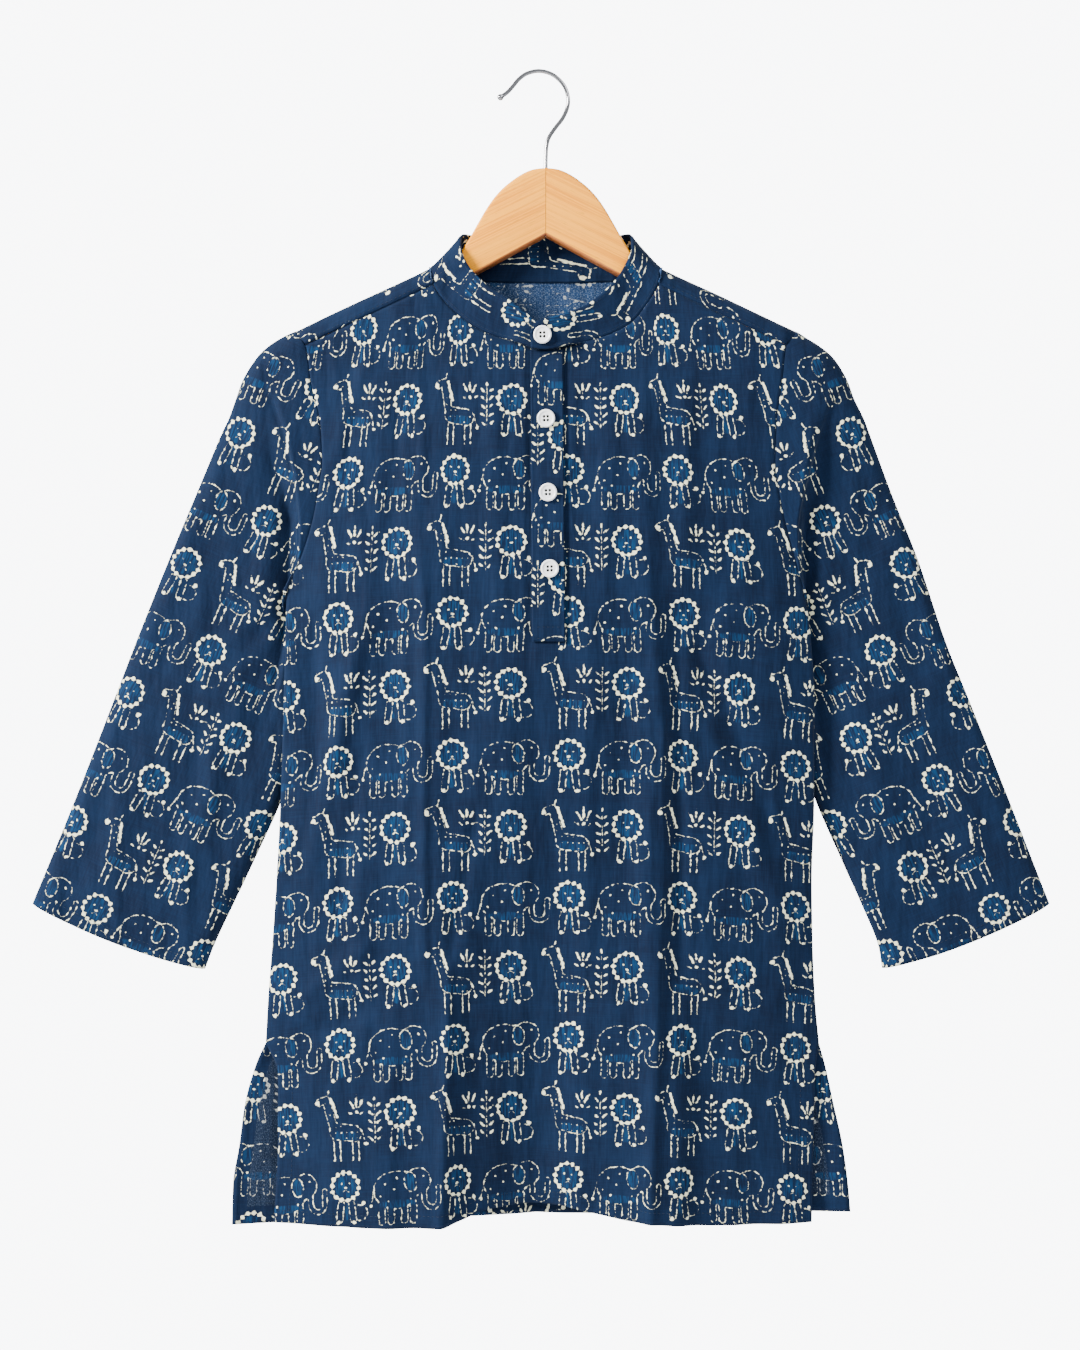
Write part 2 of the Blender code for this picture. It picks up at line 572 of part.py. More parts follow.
def sleeve_walls(name, t):
    """In-plane places and the two depths of a sleeve's rings, at t along it."""
    side = -1 if name == "left" else 1
    v, ring_x, ring_z, ring_front, ring_back = (row[None, :] for row in armhole_ring(side))
    top = path_points(SLEEVE_TOP[name], t[:, 0])[:, None, :]
    under = path_points(SLEEVE_UNDER[name], t[:, 0])[:, None, :]
    span = under - top
    width = np.linalg.norm(span, axis=-1)
    chord_x = ring_x[:, :1] + (ring_x[:, -1:] - ring_x[:, :1]) * v
    hollow = (ring_x - chord_x) * (1 - smoothstep(0.0, 0.4, t))
    start = 1 - smoothstep(0.0, 0.006, t)
    x = top[..., 0] + span[..., 0] * v + hollow
    z = top[..., 1] + span[..., 1] * v
    x = x + (ring_x - x) * start
    z = z + (ring_z - z) * start - CUFF_SAG * 4 * v * (1 - v) * t ** 6
    lens = edge_round(v * width, SLEEVE_EDGE) * edge_round((1 - v) * width, SLEEVE_EDGE)
    front_free = SLEEVE_MIDDLE - SLEEVE_HALF_DEPTH * lens
    back_free = SLEEVE_MIDDLE + SLEEVE_HALF_DEPTH * lens
    low = smoothstep(0.7, 1.0, v)
    starts = SLEEVE_CREASE[0] + (UNDERARM_CREASE[0] - SLEEVE_CREASE[0]) * low
    ends = SLEEVE_CREASE[1] + (UNDERARM_CREASE[1] - SLEEVE_CREASE[1]) * low
    crease = smoothstep(starts, ends, t)
    soft = smoothstep(0.006, 0.32, t)
    to_front = soft + (crease - soft) * smoothstep(0.12, 0.40, v)
    to_back = soft + (crease - soft) * smoothstep(0.75, 1.0, v)
    front = ring_front + (front_free - ring_front) * to_front
    back = ring_back + (back_free - ring_back) * to_back
    limit = half_width(side, z, FRONT_FLAP_WIDTH) + SEAM_GAP + UNDERARM_MARGIN * smoothstep(0.0, 0.01, t)
    short = np.maximum(0.0, limit - side * x)
    behind = smoothstep(ends + UNDERARM_HOLD[0], ends + UNDERARM_HOLD[1], t)
    return x + side * short * (1 - behind), z, front, back


def make_sleeve(name, collection, root):
    t = (spread(0.0, 1.0, 24) ** 1.35)[:, None]
    x, z, front, back = sleeve_walls(name, t)
    out = np.stack((x, front, z), axis=-1)
    home = np.stack((x, back, z), axis=-1)
    crest = 0.5 * (out[:, :1] + home[:, :1])
    loop = np.concatenate((crest, out[:, 1:], home[:, -1:0:-1]), axis=1)
    if name == "right":
        loop = loop[:, ::-1]
    mesh = grid_mesh("sleeve_" + name, loop, closed=True)
    return thicken(add_object("sleeve_" + name, mesh, INDIGO_SLEEVE, collection, root), CLOTH_WALL)


def neck_curve():
    """The neck seam as one fine line: left front, back, right front."""
    x = spread(0.0, NECK_HALF_WIDTH, 160)
    left = np.stack((-x, front_y(-x, column(NECKLINE, -x, 1)), column(NECKLINE, -x, 1)), axis=1)
    right = np.stack((x, front_y(x, column(NECKLINE, x, 1)), column(NECKLINE, x, 1)), axis=1)
    bend = path_points(BACK_NECK, spread(0.0, 1.0, 300))
    return np.vstack((left, shoulder_point(bend[:, 0], bend[:, 1]), right[::-1]))


def make_collar(collection, root):
    stations = np.array(COLLAR)
    count = 54
    fractions = spread(0.0, 1.0, count)
    band = path_points(stations, fractions)
    top = band[:, 3:]
    curve = neck_curve()
    nearest = [np.argmin(np.linalg.norm(curve - point, axis=1)) for point in band[:, :3]]
    seam = curve[nearest]
    seam[:, 0] = np.where(np.abs(band[:, 0]) < COLLAR_LAP_REACH, band[:, 0], seam[:, 0])
    seam[:, 1] = np.where(np.abs(band[:, 0]) < COLLAR_LAP_REACH, band[:, 1], seam[:, 1])
    toward_top = top - seam
    seam = seam + toward_top / np.linalg.norm(toward_top, axis=1, keepdims=True) * SEAM_GAP * 1.6
    run = np.concatenate(([0.0], np.cumsum(np.linalg.norm(np.diff(top, axis=0), axis=1))))
    to_end = np.clip((run[-1] - run) / COLLAR_CORNER, 0.0, 1.0)
    drop = COLLAR_CORNER * (1 - np.sqrt(1 - (1 - to_end) ** 2))
    height = np.linalg.norm(top - seam, axis=1)
    top = seam + (top - seam) * (1 - drop / height)[:, None]
    rows = spread(0.0, 1.0, 4)[:, None, None]
    points = seam + (top - seam) * rows
    mesh = grid_mesh("collar", points)
    return thicken(add_object("collar", mesh, INDIGO_BAND, collection, root), COLLAR_WALL)


def band_grid(width, top, foot, rows, columns, offset):
    """Strip over the front, made from the front's points moved out by offset."""
    z = spread(top, foot, rows)[:, None]
    centre = PLACKET_TOP_CENTRE + (PLACKET_FOOT_CENTRE - PLACKET_TOP_CENTRE) * (z - top) / (foot - top)
    x = centre + spread(-0.5, 0.5, columns)[None, :] * width
    z = np.broadcast_to(z, x.shape)
    return np.stack((x, front_y(x, z) - offset, z), axis=-1)


def make_placket(collection, root):
    out = LAYER_GAP + CLOTH_WALL
    upper = grid_mesh("placket_top", band_grid(PLACKET_WIDTH, PLACKET_TOP, PLACKET_FOOT, 28, 5, out))
    thicken(add_object("placket_top", upper, INDIGO_BAND, collection, root), CLOTH_WALL)
    under = -LAYER_GAP - CLOTH_WALL
    points = band_grid(UNDERLAP_WIDTH, PLACKET_TOP, NOTCH_FOOT - 3.0, 28, 5, under)
    lower = grid_mesh("placket_under", points)
    thicken(add_object("placket_under", lower, INDIGO_BAND, collection, root), CLOTH_WALL)


def button_profile():
    """Half section of a button about its axis, from the back's centre to the dish's centre."""
    half = BUTTON_THICKNESS / 2
    rim = BUTTON_RADIUS - BUTTON_RIM
    return ((0.0, half), (BUTTON_RADIUS - 0.8, half), (BUTTON_RADIUS, half - 0.8),
            (BUTTON_RADIUS, 0.3 - half), (BUTTON_RADIUS - 0.5, -half), (rim, -half),
            (rim - 0.7, BUTTON_DISH - half), (0.0, BUTTON_DISH - half))


def make_button(index, x, y, z, tilt, collection, cutters, root):
    name = f"button_{index}"
    mesh = bpy.data.meshes.new(name)
    profile = [(radius * MM, 0.0, -depth * MM) for radius, depth in button_profile()]
    mesh.from_pydata(profile, [(i, i + 1) for i in range(len(profile) - 1)], [])
    button = add_object(name, mesh, BUTTON_WHITE, collection, root)
    button.location = (x * MM, y * MM, z * MM)
    button.rotation_euler = (math.pi / 2 + tilt, 0.0, 0.0)
    turn = button.modifiers.new("Turned", "SCREW")
    turn.steps = 18
    turn.render_steps = 18
    turn.use_merge_vertices = True
    turn.merge_threshold = 0.00001
    turn.use_normal_calculate = True
    for number in range(4):
        angle = math.pi / 4 + number * math.pi / 2
        drill_mesh = bpy.data.meshes.new(f"{name}_drill_{number + 1}")
        bm = bmesh.new()
        bmesh.ops.create_cone(bm, cap_ends=True, segments=6, radius1=BUTTON_HOLE_RADIUS * MM,
                              radius2=BUTTON_HOLE_RADIUS * MM, depth=3 * BUTTON_THICKNESS * MM)
        bm.to_mesh(drill_mesh)
        bm.free()
        drill = add_object(drill_mesh.name, drill_mesh, None, cutters, button)
        reach = BUTTON_HOLE_SPACING * math.sqrt(2) * MM
        drill.location = (reach * math.cos(angle), reach * math.sin(angle), 0.0)
        drill.hide_render = True
        drill.display_type = "WIRE"
        cut = button.modifiers.new(f"Hole {number + 1}", "BOOLEAN")
        cut.operation = "DIFFERENCE"
        cut.solver = "EXACT"
        cut.object = drill
    return button


def surface_tilt(x, z, offset):
    """Angle by which the placket leans back at a button."""
    step = 4.0
    rise = front_y(np.float64(x), z + step) - front_y(np.float64(x), z - step)
    return -math.atan2(float(rise), 2 * step)


def make_buttons(collection, cutters, root):
    for index, (x, z) in enumerate(BUTTONS, start=1):
        if index == 1:
            face = COLLAR_END_FACE
            tilt = 0.0
        else:
            face = float(front_y(np.float64(x), z)) - LAYER_GAP - CLOTH_WALL
            tilt = surface_tilt(x, z, LAYER_GAP)
        y = face - LAYER_GAP - BUTTON_THICKNESS / 2
        make_button(index, x, y, z, tilt, collection, cutters, root)


def arm_outline():
    """Outline of the right arm: crest, straight shoulder, round end and underside."""
    crest = [tuple(point) for point in path_points(HANGER_CREST, spread(0.0, 1.0, 15))]
    crest[0] = (HANGER_JOINT, crest[0][1])

    def top(x):
        return float(ridge(x)) - CLOTH_WALL - HANGER_CLEARANCE

    def under(x):
        return HANGER_UNDER_TOP - HANGER_UNDER_SLOPE * x

    end_x = HANGER_HALF_SPAN - HANGER_END_RADIUS
    shoulder = [(x, top(x)) for x in (73.0, 95.0, 115.0, 135.0)]
    top_angle = math.pi / 2 - math.atan(RIDGE_SLOPE)
    under_angle = -math.pi / 2 - math.atan(HANGER_UNDER_SLOPE)
    middle_z = (top(end_x) + under(end_x)) / 2
    half = (top(end_x) - under(end_x)) / 2
    end = []
    for step in range(9):
        angle = top_angle + (under_angle - top_angle) * step / 8
        end.append((end_x + HANGER_END_RADIUS * math.cos(angle), middle_z + half * math.sin(angle)))
    foot = [(x, under(x)) for x in (120.0, 80.0, 40.0)]
    return crest + shoulder + end + foot + [(HANGER_JOINT, under(0.0))]


def inset_outline(outline, joint_x, distance):
    """Outline drawn in by a distance along its edges, but not along the edge that lies at joint_x."""
    points = np.array(outline)
    edge = np.roll(points, -1, axis=0) - points
    length = np.linalg.norm(edge, axis=1, keepdims=True)
    normal = np.stack((edge[:, 1], -edge[:, 0]), axis=1) / length
    at_joint = np.abs(points[:, 0] - joint_x) + np.abs(np.roll(points, -1, axis=0)[:, 0] - joint_x)
    offset = np.where(at_joint < 0.001, 0.0, distance)
    before = np.roll(normal, 1, axis=0)
    offset_before = np.roll(offset, 1)
    determinant = before[:, 0] * normal[:, 1] - before[:, 1] * normal[:, 0]
    straight = np.abs(determinant) < 1e-6
    determinant = np.where(straight, 1.0, determinant)
    move_x = (offset_before * normal[:, 1] - offset * before[:, 1]) / determinant
    move_z = (offset * before[:, 0] - offset_before * normal[:, 0]) / determinant
    move = np.stack((move_x, move_z), axis=1)
    move = np.where(straight[:, None], normal * offset[:, None], move)
    return points + move


def rounded_slab(name, outline, joint_x, depth, radius):
    """Loft of an outline through a slab's depth, its two faces' edges rounded."""
    points = np.array(outline)
    area = np.sum(points[:, 0] * np.roll(points[:, 1], -1) - np.roll(points[:, 0], -1) * points[:, 1])
    inward = radius if area < 0 else -radius
    rings = []
    for step in range(5):
        angle = math.pi / 2 * step / 4
        ring = inset_outline(outline, joint_x, inward * (1 - math.sin(angle)))
        rings.append((ring, -depth / 2 + radius * (1 - math.cos(angle))))
    rings += [(ring, -y) for ring, y in rings[::-1]]
    grid = np.array([[(x, y, z) for x, z in ring] for ring, y in rings])
    mesh = grid_mesh(name, grid, closed=True)
    bm = bmesh.new()
    bm.from_mesh(mesh)
    rims = [edge for edge in bm.edges if edge.is_boundary]
    bmesh.ops.edgeloop_fill(bm, edges=rims)
    bmesh.ops.recalc_face_normals(bm, faces=bm.faces)
    bm.to_mesh(mesh)
    bm.free()
    return mesh


def curve_to_mesh(name, curve):
    guide = bpy.data.objects.new(name + "_guide", curve)
    bpy.context.scene.collection.objects.link(guide)
    evaluated = guide.evaluated_get(bpy.context.evaluated_depsgraph_get())
    mesh = bpy.data.meshes.new_from_object(evaluated)
    bpy.data.objects.remove(guide)
    bpy.data.curves.remove(curve)
    bm = bmesh.new()
    bm.from_mesh(mesh)
    bmesh.ops.remove_doubles(bm, verts=bm.verts, dist=0.00001)
    bmesh.ops.recalc_face_normals(bm, faces=bm.faces)
    bm.to_mesh(mesh)
    bm.free()
    return mesh


def make_hanger_arms(collection, cutters, root):
    drill_mesh = bpy.data.meshes.new("hook_drill")
    bm = bmesh.new()
    bore = WIRE_RADIUS + WIRE_BORE_SLACK
    bmesh.ops.create_cone(bm, cap_ends=True, segments=WIRE_BORE_SIDES, radius1=bore * MM, radius2=bore * MM,
                          depth=2 * WIRE_BORE_DEPTH * MM)
    bm.to_mesh(drill_mesh)
    bm.free()
    drill = add_object("hook_drill", drill_mesh, None, cutters, root)
    drill.location = (0.0, 0.0, HANGER_CREST[0][1] * MM)
    drill.hide_render = True
    drill.display_type = "WIRE"
    for name, side in (("left", -1), ("right", 1)):
        outline = [(side * x, z) for x, z in arm_outline()]
        mesh = rounded_slab("hanger_arm_" + name, outline, side * HANGER_JOINT, HANGER_DEPTH,
                            HANGER_EDGE)
        arm = add_object("hanger_arm_" + name, mesh, BEECH, collection, root)
        bore = arm.modifiers.new("Hook bore", "BOOLEAN")
        bore.operation = "DIFFERENCE"
        bore.solver = "EXACT"
        bore.object = drill
        mesh.shade_smooth()
        mesh.set_sharp_from_angle(angle=math.radians(35))


def make_hook(collection, root):
    fine = path_points(HOOK_ROUTE, spread(0.0, 1.0, 48))
    length = np.concatenate(([0.0], np.cumsum(np.linalg.norm(np.diff(fine, axis=0), axis=1))))
    ball = np.sqrt(np.clip(1 - ((length - HOOK_BALL_RADIUS) / HOOK_BALL_RADIUS) ** 2, 0.04, 1.0))
    swell = np.where(length < 2 * HOOK_BALL_RADIUS, ball * HOOK_BALL_RADIUS / WIRE_RADIUS, 1.0)
    curve = bpy.data.curves.new("hook", "CURVE")
    curve.dimensions = "3D"
    curve.bevel_depth = WIRE_RADIUS * MM
    curve.bevel_resolution = 2
    curve.use_fill_caps = True
    spline = curve.splines.new("POLY")
    spline.points.add(len(fine) - 1)
    for point, (x, z), wide in zip(spline.points, fine, np.maximum(swell, 1.0)):
        point.co = (x * MM, 0.0, z * MM, 1.0)
        point.radius = float(wide)
    mesh = curve_to_mesh("hook", curve)
    mesh.shade_smooth()
    mesh.set_sharp_from_angle(angle=math.radians(50))
    add_object("hook", mesh, STEEL, collection, root)


def main():
    for obj in list(bpy.data.objects):
        bpy.data.objects.remove(obj)
    collection = bpy.data.collections.new("kurta_on_hanger")
    cutters = bpy.data.collections.new("cutters")
    bpy.context.scene.collection.children.link(collection)
    bpy.context.scene.collection.children.link(cutters)
    root = bpy.data.objects.new("garment_root", None)
    root.location = tuple(value * MM for value in ROOT_PLACE)
    collection.objects.link(root)
    make_front(collection, root)
    make_back(collection, root)
    make_yoke(collection, root)
    make_sleeve("left", collection, root)
    make_sleeve("right", collection, root)
    make_collar(collection, root)
    make_placket(collection, root)
    make_buttons(collection, cutters, root)
    make_hanger_arms(collection, cutters, root)
    make_hook(collection, root)


main()
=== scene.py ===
"""Kurta tunic on a wooden hanger: cloth, print, sewing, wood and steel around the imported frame.

Every table is in millimetres on the garment's own axes: x = 0 on its centre line, -y towards the
front, z up. ROOT_PLACE carries them to the frame, whose origin is the hook's seat.
"""
import math
from functools import partialmethod

import bpy
import numpy as np
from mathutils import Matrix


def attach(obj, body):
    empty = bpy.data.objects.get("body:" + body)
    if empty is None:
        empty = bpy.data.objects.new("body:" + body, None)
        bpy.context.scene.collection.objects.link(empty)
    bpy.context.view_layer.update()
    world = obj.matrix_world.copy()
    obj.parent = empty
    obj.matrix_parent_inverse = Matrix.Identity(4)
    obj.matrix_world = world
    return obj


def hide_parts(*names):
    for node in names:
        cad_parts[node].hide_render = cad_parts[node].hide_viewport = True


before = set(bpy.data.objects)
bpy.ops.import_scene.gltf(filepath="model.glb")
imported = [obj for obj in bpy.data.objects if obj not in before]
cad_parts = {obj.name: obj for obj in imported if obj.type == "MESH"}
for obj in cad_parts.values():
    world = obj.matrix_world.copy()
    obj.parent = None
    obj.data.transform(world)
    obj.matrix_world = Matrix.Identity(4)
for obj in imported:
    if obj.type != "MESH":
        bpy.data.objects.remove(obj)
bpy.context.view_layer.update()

MM = 0.001
ROOT_PLACE = np.array((4.7, 0.0, -1.65))
FRONT, BACK = 1, 2                  # a panel's side, and its column in the tables of depths
SIDES = {"left": -1, "right": 1}

# Cloth
CLOTH_WALL = 1.0
COLLAR_WALL = 1.7
SEAM_GAP = 0.12
LAYER_GAP = 0.3

# Body, on the same measures as the solids
SHOULDER_HALF_DEPTH = 9.5
SHOULDER_FOLD_HEIGHT = 13.0
FOLD_PATH = math.pi * math.sqrt((SHOULDER_HALF_DEPTH ** 2 + SHOULDER_FOLD_HEIGHT ** 2) / 2)
BELLY_POWER = 2.4
SETTLE = 45.0                       # fall over which the cloth leaves the shoulder's shape
NECK_HALF_WIDTH = 70.5
RIDGE_TOP = -120.0
RIDGE_SLOPE = 0.47
BACK_YOKE_SEAM = -205.0
UNDERARM_LEVEL = -322.6
SLIT_TOP = -606.0
REFERENCE_WIDTH = 165.0
# z, left half width, right half width of the body from shoulder tip to slit
BODY_WIDTH = (
    (-156, 158, 158), (-163, 155.5, 155.5), (-171, 149.5, 149.5), (-193, 146.5, 147),
    (-220, 140.5, 143.5), (-243, 139.5, 142.8), (-257, 141.5, 144.5), (-279, 145.5, 149),
    (-304, 153.5, 156), (-323, 162, 161.5), (-354, 163, 166), (-392, 164, 168), (-455, 166, 168),
    (-505, 168.5, 166.5), (-543, 171, 167), (-580, 173.8, 168.6), (-606, 175.2, 171),
)
# the same below the slit's top, for each panel
FLAP_WIDTH = {
    FRONT: (
        (-606, 175.2, 171), (-625, 167.5, 168.5), (-665, 167.5, 167.5), (-730, 170.8, 166),
    ),
    BACK: (
        (-606, 175.2, 171), (-620, 181.6, 175), (-645, 188.6, 180.5), (-670, 192, 186),
        (-695, 196, 189.5), (-730, 197, 192.5),
    ),
}
# z, front centre depth, back centre depth
CENTRE_DEPTH = (
    (-120, 12, 9.5), (-172, 17, 11), (-230, 19.5, 12), (-330, 21, 13), (-450, 21, 13),
    (-600, 20.5, 13.5), (-730, 20, 14),
)
# z, front depth, back depth along the armhole edge
ARMHOLE_DEPTH = (
    (-150, 9.5, 9.5), (-215, 9, 9.2), (-265, 7.6, 7), (-300, 5.6, 2.2), (-323, 4.15, -1.85),
    (-730, 4.15, -1.85),
)
# x, z of the neckline seam in front, from the left shoulder to the right one
NECKLINE = (
    (-70.5, -133), (-66.8, -139), (-62.3, -144.5), (-52.3, -154), (-42.3, -161), (-30.4, -166),
    (-13.6, -171), (-7, -173.8), (0, -174.6), (10.8, -172.4), (22.6, -169.5), (35.7, -165.9),
    (45.1, -162.2), (54.4, -156.3), (61.3, -147.8), (66.4, -140.2), (70.5, -133),
)
# x, path length from the yoke's front edge, along the side and back of the neck
BACK_NECK = (
    (-70.5, 0), (-71.8, 7), (-72.8, 16), (-71, 23.5), (-64, 28.6), (-46, 30.8), (-16, 31.6),
    (16, 31.6), (46, 30.8), (64, 28.6), (71, 23.5), (72.8, 16), (71.8, 7), (70.5, 0),
)
# x, z of the hems
FRONT_HEM = (
    (-175, -718.2), (-110, -718.6), (-68, -718), (-52, -714), (-38, -709), (-3, -706.5),
    (34, -711.5), (52, -714.6), (64, -715.8), (110, -718.6), (175, -717.9),
)
BACK_HEM = (
    (-200, -720.5), (-100, -719), (0, -717.5), (100, -714.5), (200, -712.3),
)
BACK_HEM_HALF_WIDTH = 195.0

# Folds of both panels: start x, z, end x, z, half width, height at start, at end.
# A positive height stands out from the garment.
FOLDS = {
    FRONT: (
        (-79, -290, -80, -540, 8, 1, 2.6), (-52, -470, -67, -730, 11, 0.5, 5.5),
        (0, -440, -3, -730, 46, 0, -14), (66, -330, 66, -730, 8, 2, 5),
        (83, -290, 84, -600, 12, -2.5, -2.5), (88, -300, 131, -520, 10, -2, -2.5),
        (122, -420, 150, -560, 11, 1.5, 2.5), (-106, -320, -136, -440, 9, 2, 2.5),
        (-145, -335, -143, -460, 10, -2, -2), (-125, -180, -124, -250, 9, -2, -1),
        (55, -200, 61, -340, 10, 1.5, 2), (-125, -590, -120, -730, 26, 1, 5),
        (112, -560, 120, -730, 26, -1, -5), (148, -640, 152, -730, 12, 1, 4),
    ),
    BACK: (
        (-100, -230, -104, -730, 14, 1, 5), (-58, -240, -52, -730, 18, -1.5, -4),
        (-8, -260, -6, -730, 14, 2, 5), (42, -250, 46, -730, 18, -1.5, -4.5),
        (92, -230, 98, -730, 14, 1.5, 5), (-146, -640, -150, -730, 14, -0.5, -3),
        (140, -640, 146, -730, 14, -0.5, -3),
    ),
}
# Finer creases over the solids' folds, for both panels and both sleeves
CREASES = {
    FRONT: (
        (-82, -258, -75, -332, 3.2, 0.7, 1.3), (-75, -316, -75, -554, 2.8, 1.3, 1.2),
        (-82, -316, -82, -554, 3.4, -0.9, -0.8), (-66, -290, -65, -540, 6, 1.3, 0.8),
        (-100, -290, -98, -560, 14, -0.9, -1.3), (-60, -540, -63.5, -735, 3.6, 1.6, 2.4),
        (-41, -455, -60, -552, 4.2, -2, -1.8), (-48, -560, -50, -735, 9, -0.8, -1.4),
        (-6, -500, -10, -745, 28, -2, -5.6), (66, -322, 73, -420, 3, 0.8, 1.6),
        (73, -402, 73, -512, 2.7, 1.6, 1.8), (73, -498, 63.5, -735, 3.2, 1.6, 1.3),
        (81.5, -314, 82, -552, 3.2, -0.7, -1.3), (88, -186, 87, -330, 8, 2.1, 1.6),
        (84, -556, 80, -735, 8, 2.4, 3), (88.5, -330, 88.5, -552, 4.5, 1.4, 1.4),
        (90, -356, 113, -396, 5, -1.8, -2.6), (111, -388, 160, -530, 7, -3.2, -2.4),
        (97, -396, 134, -500, 7, 2.6, 2.2), (141, -445, 152, -525, 4, 1.5, 1.5),
        (-146, -350, -144, -446, 6.5, -3, -2.6), (-114, -340, -148, -500, 6.5, 2.6, 2.4),
        (-114, -420, -130, -530, 6, -2, -1.8), (-106, -542, -156, -580, 6, 2.4, 1.8),
        (-108, -580, -158, -606, 7.5, -2.4, -1.6), (-109, -172, -135, -248, 4.6, 2.8, 2.2),
        (-139, -184, -144, -262, 6.5, -3.2, -2.4), (-117, -190, -126, -262, 4.6, -2, -1.6),
        (-76, -218, -77.5, -270, 3.6, 1.2, 1), (-92, -176, -98, -300, 6, -1.3, -1.2),
        (-34, -196, -29, -330, 6, 1.2, 0.9), (24, -196, 22, -264, 4.2, -1.5, -0.9),
        (40, -205, 36, -330, 6, 1, 1.2), (58, -186, 64, -326, 5, 1.2, 0.9),
        (98, -185, 92, -300, 7, -1.6, -1.2), (128, -190, 122, -330, 7.5, 1.2, 1.5),
        (28, -372, 24, -556, 6.5, 1.3, 1.6), (-30, -372, -22, -470, 6, 1.2, 1.2),
        (-5, -362, -3, -520, 5.5, -1.2, -1.6), (46, -380, 50, -520, 6, -1.2, -1.6),
        (-58, -580, 60, -579, 1.6, -0.7, -0.7), (120, -560, 118, -735, 7, 1.2, 1.8),
        (95, -560, 94, -735, 8, -1.2, -1.8), (-98, -610, -97, -735, 8, 1, 1.8),
        (-122, -620, -124, -735, 7, -1, -1.7), (18, -600, 20, -735, 7, 1.2, 2),
        (160, -560, 120, -600, 6, 1.2, 0.4), (150, -326, 100, -350, 6, 1.6, 0.4),
        (-150, -322, -110, -346, 6, 1.6, 0.4),
    ),
    BACK: (
        (-100, -230, -103, -700, 4.4, 1, 1.7), (-60, -230, -55, -600, 5.5, -1, -1.5),
        (-8, -240, -6, -720, 4.4, 1.2, 1.9), (44, -240, 46, -640, 5.5, -1, -1.7),
        (94, -235, 98, -720, 5, 1, 1.7), (-140, -330, -100, -390, 7.7, 1.7, 0.3),
        (140, -330, 104, -386, 7.7, 1.7, 0.3), (-150, -360, -120, -460, 6.6, -1.4, -0.5),
        (150, -360, 122, -450, 6.6, -1.4, -0.5),
    ),
}
SLEEVE_CREASES = {
    "left": (
        (-158, -215, -180, -330, 7.7, 1.4, 2.4), (-162, -322, -205, -360, 6.6, 2.7, 0.5),
        (-164, -345, -214, -400, 7.7, 2, 0.3), (-205, -260, -246, -380, 9.9, -1.5, -2),
        (-190, -380, -232, -520, 9.9, 1.7, 2), (-250, -420, -290, -530, 9.9, 1.2, 1.7),
    ),
    "right": (
        (158, -215, 180, -330, 7.7, 1.4, 2.4), (162, -322, 203, -356, 6.6, 2.5, 0.5),
        (165, -346, 212, -396, 7.7, 2, 0.3), (204, -262, 240, -376, 9.9, -1.5, -2),
        (192, -384, 230, -516, 9.9, 1.7, 2), (246, -420, 284, -526, 9.9, 1.2, 1.7),
    ),
}

# Sleeves: the upper edge and the underarm edge, from armhole to cuff
SLEEVE_TOP = {
    "left": (
        (-157.8, -160.8), (-166, -164.8), (-174.5, -170.3), (-181.7, -177.4), (-189.9, -190),
        (-194.8, -202.5), (-199.6, -215), (-206, -228), (-222.1, -265.6), (-237.9, -303.5),
        (-258.1, -354), (-272.6, -391.9), (-297.2, -455), (-323.8, -520.1),
    ),
    "right": (
        (157.8, -160.8), (163, -164.4), (171.5, -169.6), (180.8, -177.4), (189, -190),
        (194, -202.5), (200.4, -215), (205.5, -228), (219.9, -265.6), (235.1, -303.5),
        (252.1, -354), (267.3, -391.9), (292.5, -455), (317.8, -520.1),
    ),
}
SLEEVE_UNDER = {
    "left": (
        (-162.8, -322.6), (-164.4, -330), (-164.8, -340), (-160.5, -354), (-155.5, -380),
        (-156.5, -420), (-165.5, -452), (-184, -493.2), (-196, -518.5), (-208, -543.8),
        (-215, -561.5),
    ),
    "right": (
        (161.8, -322.6), (163.6, -330), (165.2, -340), (162.5, -354), (159, -380), (160, -420),
        (169, -452), (186.9, -493.2), (198.3, -518.5), (209, -543.8), (212.4, -561),
    ),
}
# Where a sleeve tucks back beside the body: height, place across and depth of the tuck
SLEEVE_TUCK = {
    "left": (
        (-193, -177, 0), (-209, -168.5, 3.4), (-246, -158.6, 6.4), (-287, -154.5, 7.2),
        (-318, -158, 6.4), (-360, -165, 4), (-410, -174, 0),
    ),
    "right": (
        (-193, 185, 0), (-213, 176, 2.4), (-249, 165.5, 4.8), (-284, 158.5, 5.8),
        (-356, 165.5, 5.4), (-420, 172, 3.4), (-466, 180, 0),
    ),
}
TUCK_ROOM = 4.6                     # depth that a tuck leaves between a sleeve's walls
SLEEVE_MIDDLE = 8.0                 # depth of the sleeve's middle plane behind the hanger's
SLEEVE_HALF_DEPTH = 6.2
SLEEVE_EDGE = 13.0                  # width of the rounding at the sleeve's edges
SLEEVE_CREASE = (0.075, 0.135)      # part of the sleeve's length where its front steps back
UNDERARM_CREASE = (0.020, 0.066)    # the same along the underarm edge
UNDERARM_HOLD = (0.03, 0.07)        # past the crease, the stretch over which it slips behind
UNDERARM_PARTING = 0.9              # how far the sleeve spreads past the side seam at its foot
UNDERARM_OVERLAP = 0.1              # the same, further, beside the seam before the crease
CUFF_SAG = 4.5
SLEEVE_LENGTH = 392.0
SLEEVE_GRAIN = (0.40, -0.9165)      # direction of the sleeve's threads, out and down

